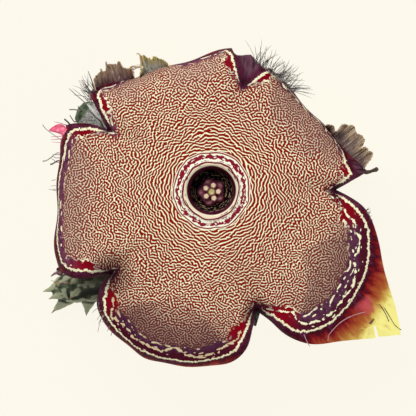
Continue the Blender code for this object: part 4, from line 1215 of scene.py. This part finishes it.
class FLOWER_OT_hairs(bpy.types.Operator):
    """Hairs along the margin and the stem, and threads that lie over the lower right lobe"""
    bl_idname = "flower.hairs"
    bl_label = "Hairs and threads"

    def execute(self, context):
        colours, thick = context.scene.flower_colours, context.scene.flower_sizes.hair / MM
        turn_scatter, rise_scatter, bend_scatter = HAIR_SCATTER
        rng = random.Random(11)
        paths = []
        for fringe in FRINGES:
            line = even_path([(*point, 0.0) for point in fringe.line], FRINGE_STEPS)
            for _ in range(fringe.count):
                share = rng.random()
                x, y, _ = line[round(share * FRINGE_STEPS)]
                foot = np.array((x, y, height_over(x, y, RIM_HEIGHT) - HAIR_SINK))
                skin = nearest_skin(foot)
                first, last = fringe.azimuths
                way = heading(first + (last - first) * share + rng.gauss(0, turn_scatter))
                size = rng.uniform(*fringe.lengths)
                out = np.array((*way, fringe.rise + rng.gauss(0, rise_scatter)))
                bend = np.array((*left_of(way), 0)) * rng.gauss(0, bend_scatter) * size
                points = [(*(foot + out * size * s + bend * s * s), thick * (1 - 0.55 * s))
                          for s in (0, 0.35, 0.7, 0.9)]
                club = thick * (2.0 if rng.random() < CLUBBED else 0.5)
                points += [(*(foot + out * size * 0.97 + bend), club), (*(foot + out * size + bend), thick * 0.2)]
                if np.linalg.norm(skin - foot) > LOOSE:
                    points.insert(0, (*skin, thick))
                tint = colours.dark_hair if rng.random() < DARK_HAIRS else colours.grey_hair
                paths.append((points, tint))
        for name, start, end, points in STRANDS:
            points = (tuple(nearest_skin(points[0])), *points)
            radii = np.linspace(start, end, len(points))
            paths.append(([(*point, radius) for point, radius in zip(points, radii)], getattr(colours, name)))
        for code, points in THREADS:
            path, height = [], DISC_HEIGHT
            for x, y in points:
                height = height_over(x, y, height)
                path.append((x, y, height + THREAD_LIFT, THREAD_RADIUS))
            paths.append((path, hex_colour(code)))

        # One tube, modelled once and copied along each path with its own tint
        model, column, row = new_grid("strand", 6, STRAND_STEPS)
        pieces = copies(model, [tube_places(even_path(path, STRAND_STEPS), column, row, 6) for path, _ in paths])
        for item, (_, tint) in zip(pieces, paths):
            keep_values(item, "tint", np.tile(tint[:3], (len(row), 1)))
        item = join(pieces, "margin_hairs")
        merge_and_turn(item, True)
        item.data.materials.append(tinted("margin_hairs_fibre", 0.6))
        keep(item, "corolla")
        return {"FINISHED"}


class FLOWER_OT_ligule(bpy.types.Operator):
    """Small pink scale at the corner of the left lobe"""
    bl_idname = "flower.ligule"
    bl_label = "Pink scale"

    def execute(self, context):
        upper, lower = (even_path([(*point, 0.0) for point in line], LIGULE_COLUMNS) for line in LIGULE)
        item, column, row = new_grid("pink_scale", LIGULE_COLUMNS, LIGULE_ROWS)
        share = (row / LIGULE_ROWS)[:, None]
        places = lower[column] + (upper[column] - lower[column]) * share
        places[:, 2] = LIGULE_HEIGHT + 0.02 * column + 0.35 * np.sin(6 * share[:, 0]) + 0.1 * np.sin(1.3 * column)
        foot = places[column == 0].mean(axis=0)
        places += (nearest_skin(foot) - foot) * (1 - column[:, None] / LIGULE_COLUMNS) ** 3
        put_points(item, places)
        tint = np.array(context.scene.flower_colours.pink[:3])
        keep_values(item, "tint", tint * (0.8 + 0.4 * np.abs(np.sin(5 * share + 0.25 * column[:, None]))))
        item.data.materials.append(tinted("pink_scale_membrane", 0.5))
        merge_and_turn(item)
        apply_modifier(item, "SOLIDIFY", thickness=LIGULE_WALL * MM, offset=0.0)
        keep(item, "corolla")
        return {"FINISHED"}


class FLOWER_OT_stage(bpy.types.Operator):
    """Pale floor, soft lamps and the camera that looks straight down"""
    bl_idname = "flower.stage"
    bl_label = "Stage"

    def execute(self, context):
        colours, sizes = context.scene.flower_colours, context.scene.flower_sizes
        bpy.ops.object.select_all(action="DESELECT")
        bpy.ops.mesh.primitive_plane_add(size=FLOOR_SIZE)
        floor = bpy.context.object
        floor.name = "studio_floor"
        made, *_ = new_material("lit_paper", 0.9, 0.0)
        shader = made.node_tree.nodes["Principled BSDF"]
        for name, value in (("Base Color", [FLOOR_SHADE * part for part in colours.floor[:3]] + [1]),
                            ("Emission Color", colours.floor), ("Emission Strength", FLOOR_GLOW)):
            shader.inputs[name].default_value = value
        floor.data.materials.append(made)

        world = bpy.data.worlds.new("soft_studio")
        world.use_nodes = True
        sky = world.node_tree.nodes["Background"].inputs
        sky["Color"].default_value, sky["Strength"].default_value = hex_colour("FFFCF6"), SKY_LIGHT
        context.scene.world = world
        for name, place, power in LAMPS:
            lamp = bpy.data.lights.new(name, "AREA")
            lamp.shape, lamp.size, lamp.energy = "SQUARE", sizes.lamp_size, power
            holder = bpy.data.objects.new(name, lamp)
            context.scene.collection.objects.link(holder)
            holder.location = place
            holder.rotation_euler = (-Vector(place)).to_track_quat("-Z", "Y").to_euler()

        lens = bpy.data.cameras.new("camera")
        lens.type = "ORTHO"
        lens.ortho_scale = VIEW_WIDTH * MM
        camera = bpy.data.objects.new("camera", lens)
        context.scene.collection.objects.link(camera)
        camera.location = np.multiply(VIEW_CENTRE, MM)
        context.scene.camera = camera
        context.scene.view_settings.view_transform = "Standard"
        return {"FINISHED"}


OPERATORS = (FLOWER_OT_corolla, FLOWER_OT_centre, FLOWER_OT_calyx, FLOWER_OT_stem, FLOWER_OT_scraps,
             FLOWER_OT_hairs, FLOWER_OT_ligule, FLOWER_OT_stage)


class VIEW3D_PT_flower(bpy.types.Panel):
    """Lists the pieces of the flower, its sizes and its colours"""
    bl_idname = "VIEW3D_PT_flower"
    bl_label = "Persian carpet flower"
    bl_space_type = "VIEW_3D"
    bl_region_type = "UI"
    bl_category = "Flower"

    def draw(self, context):
        for group in (context.scene.flower_sizes, context.scene.flower_colours):
            for name in group.__annotations__:
                self.layout.prop(group, name)
        for operator in OPERATORS:
            self.layout.operator(operator.bl_idname)


CLASSES = (FlowerSizes, FlowerColours, *OPERATORS, VIEW3D_PT_flower)


def register():
    for item in CLASSES:
        bpy.utils.register_class(item)
    bpy.types.Scene.flower_sizes = bpy.props.PointerProperty(type=FlowerSizes)
    bpy.types.Scene.flower_colours = bpy.props.PointerProperty(type=FlowerColours)


def unregister():
    del bpy.types.Scene.flower_colours
    del bpy.types.Scene.flower_sizes
    for item in reversed(CLASSES):
        bpy.utils.unregister_class(item)


def main():
    register()
    for operator in OPERATORS:
        group, name = operator.bl_idname.split(".")
        getattr(getattr(bpy.ops, group), name)()
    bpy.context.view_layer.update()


if __name__ == "__main__":
    main()
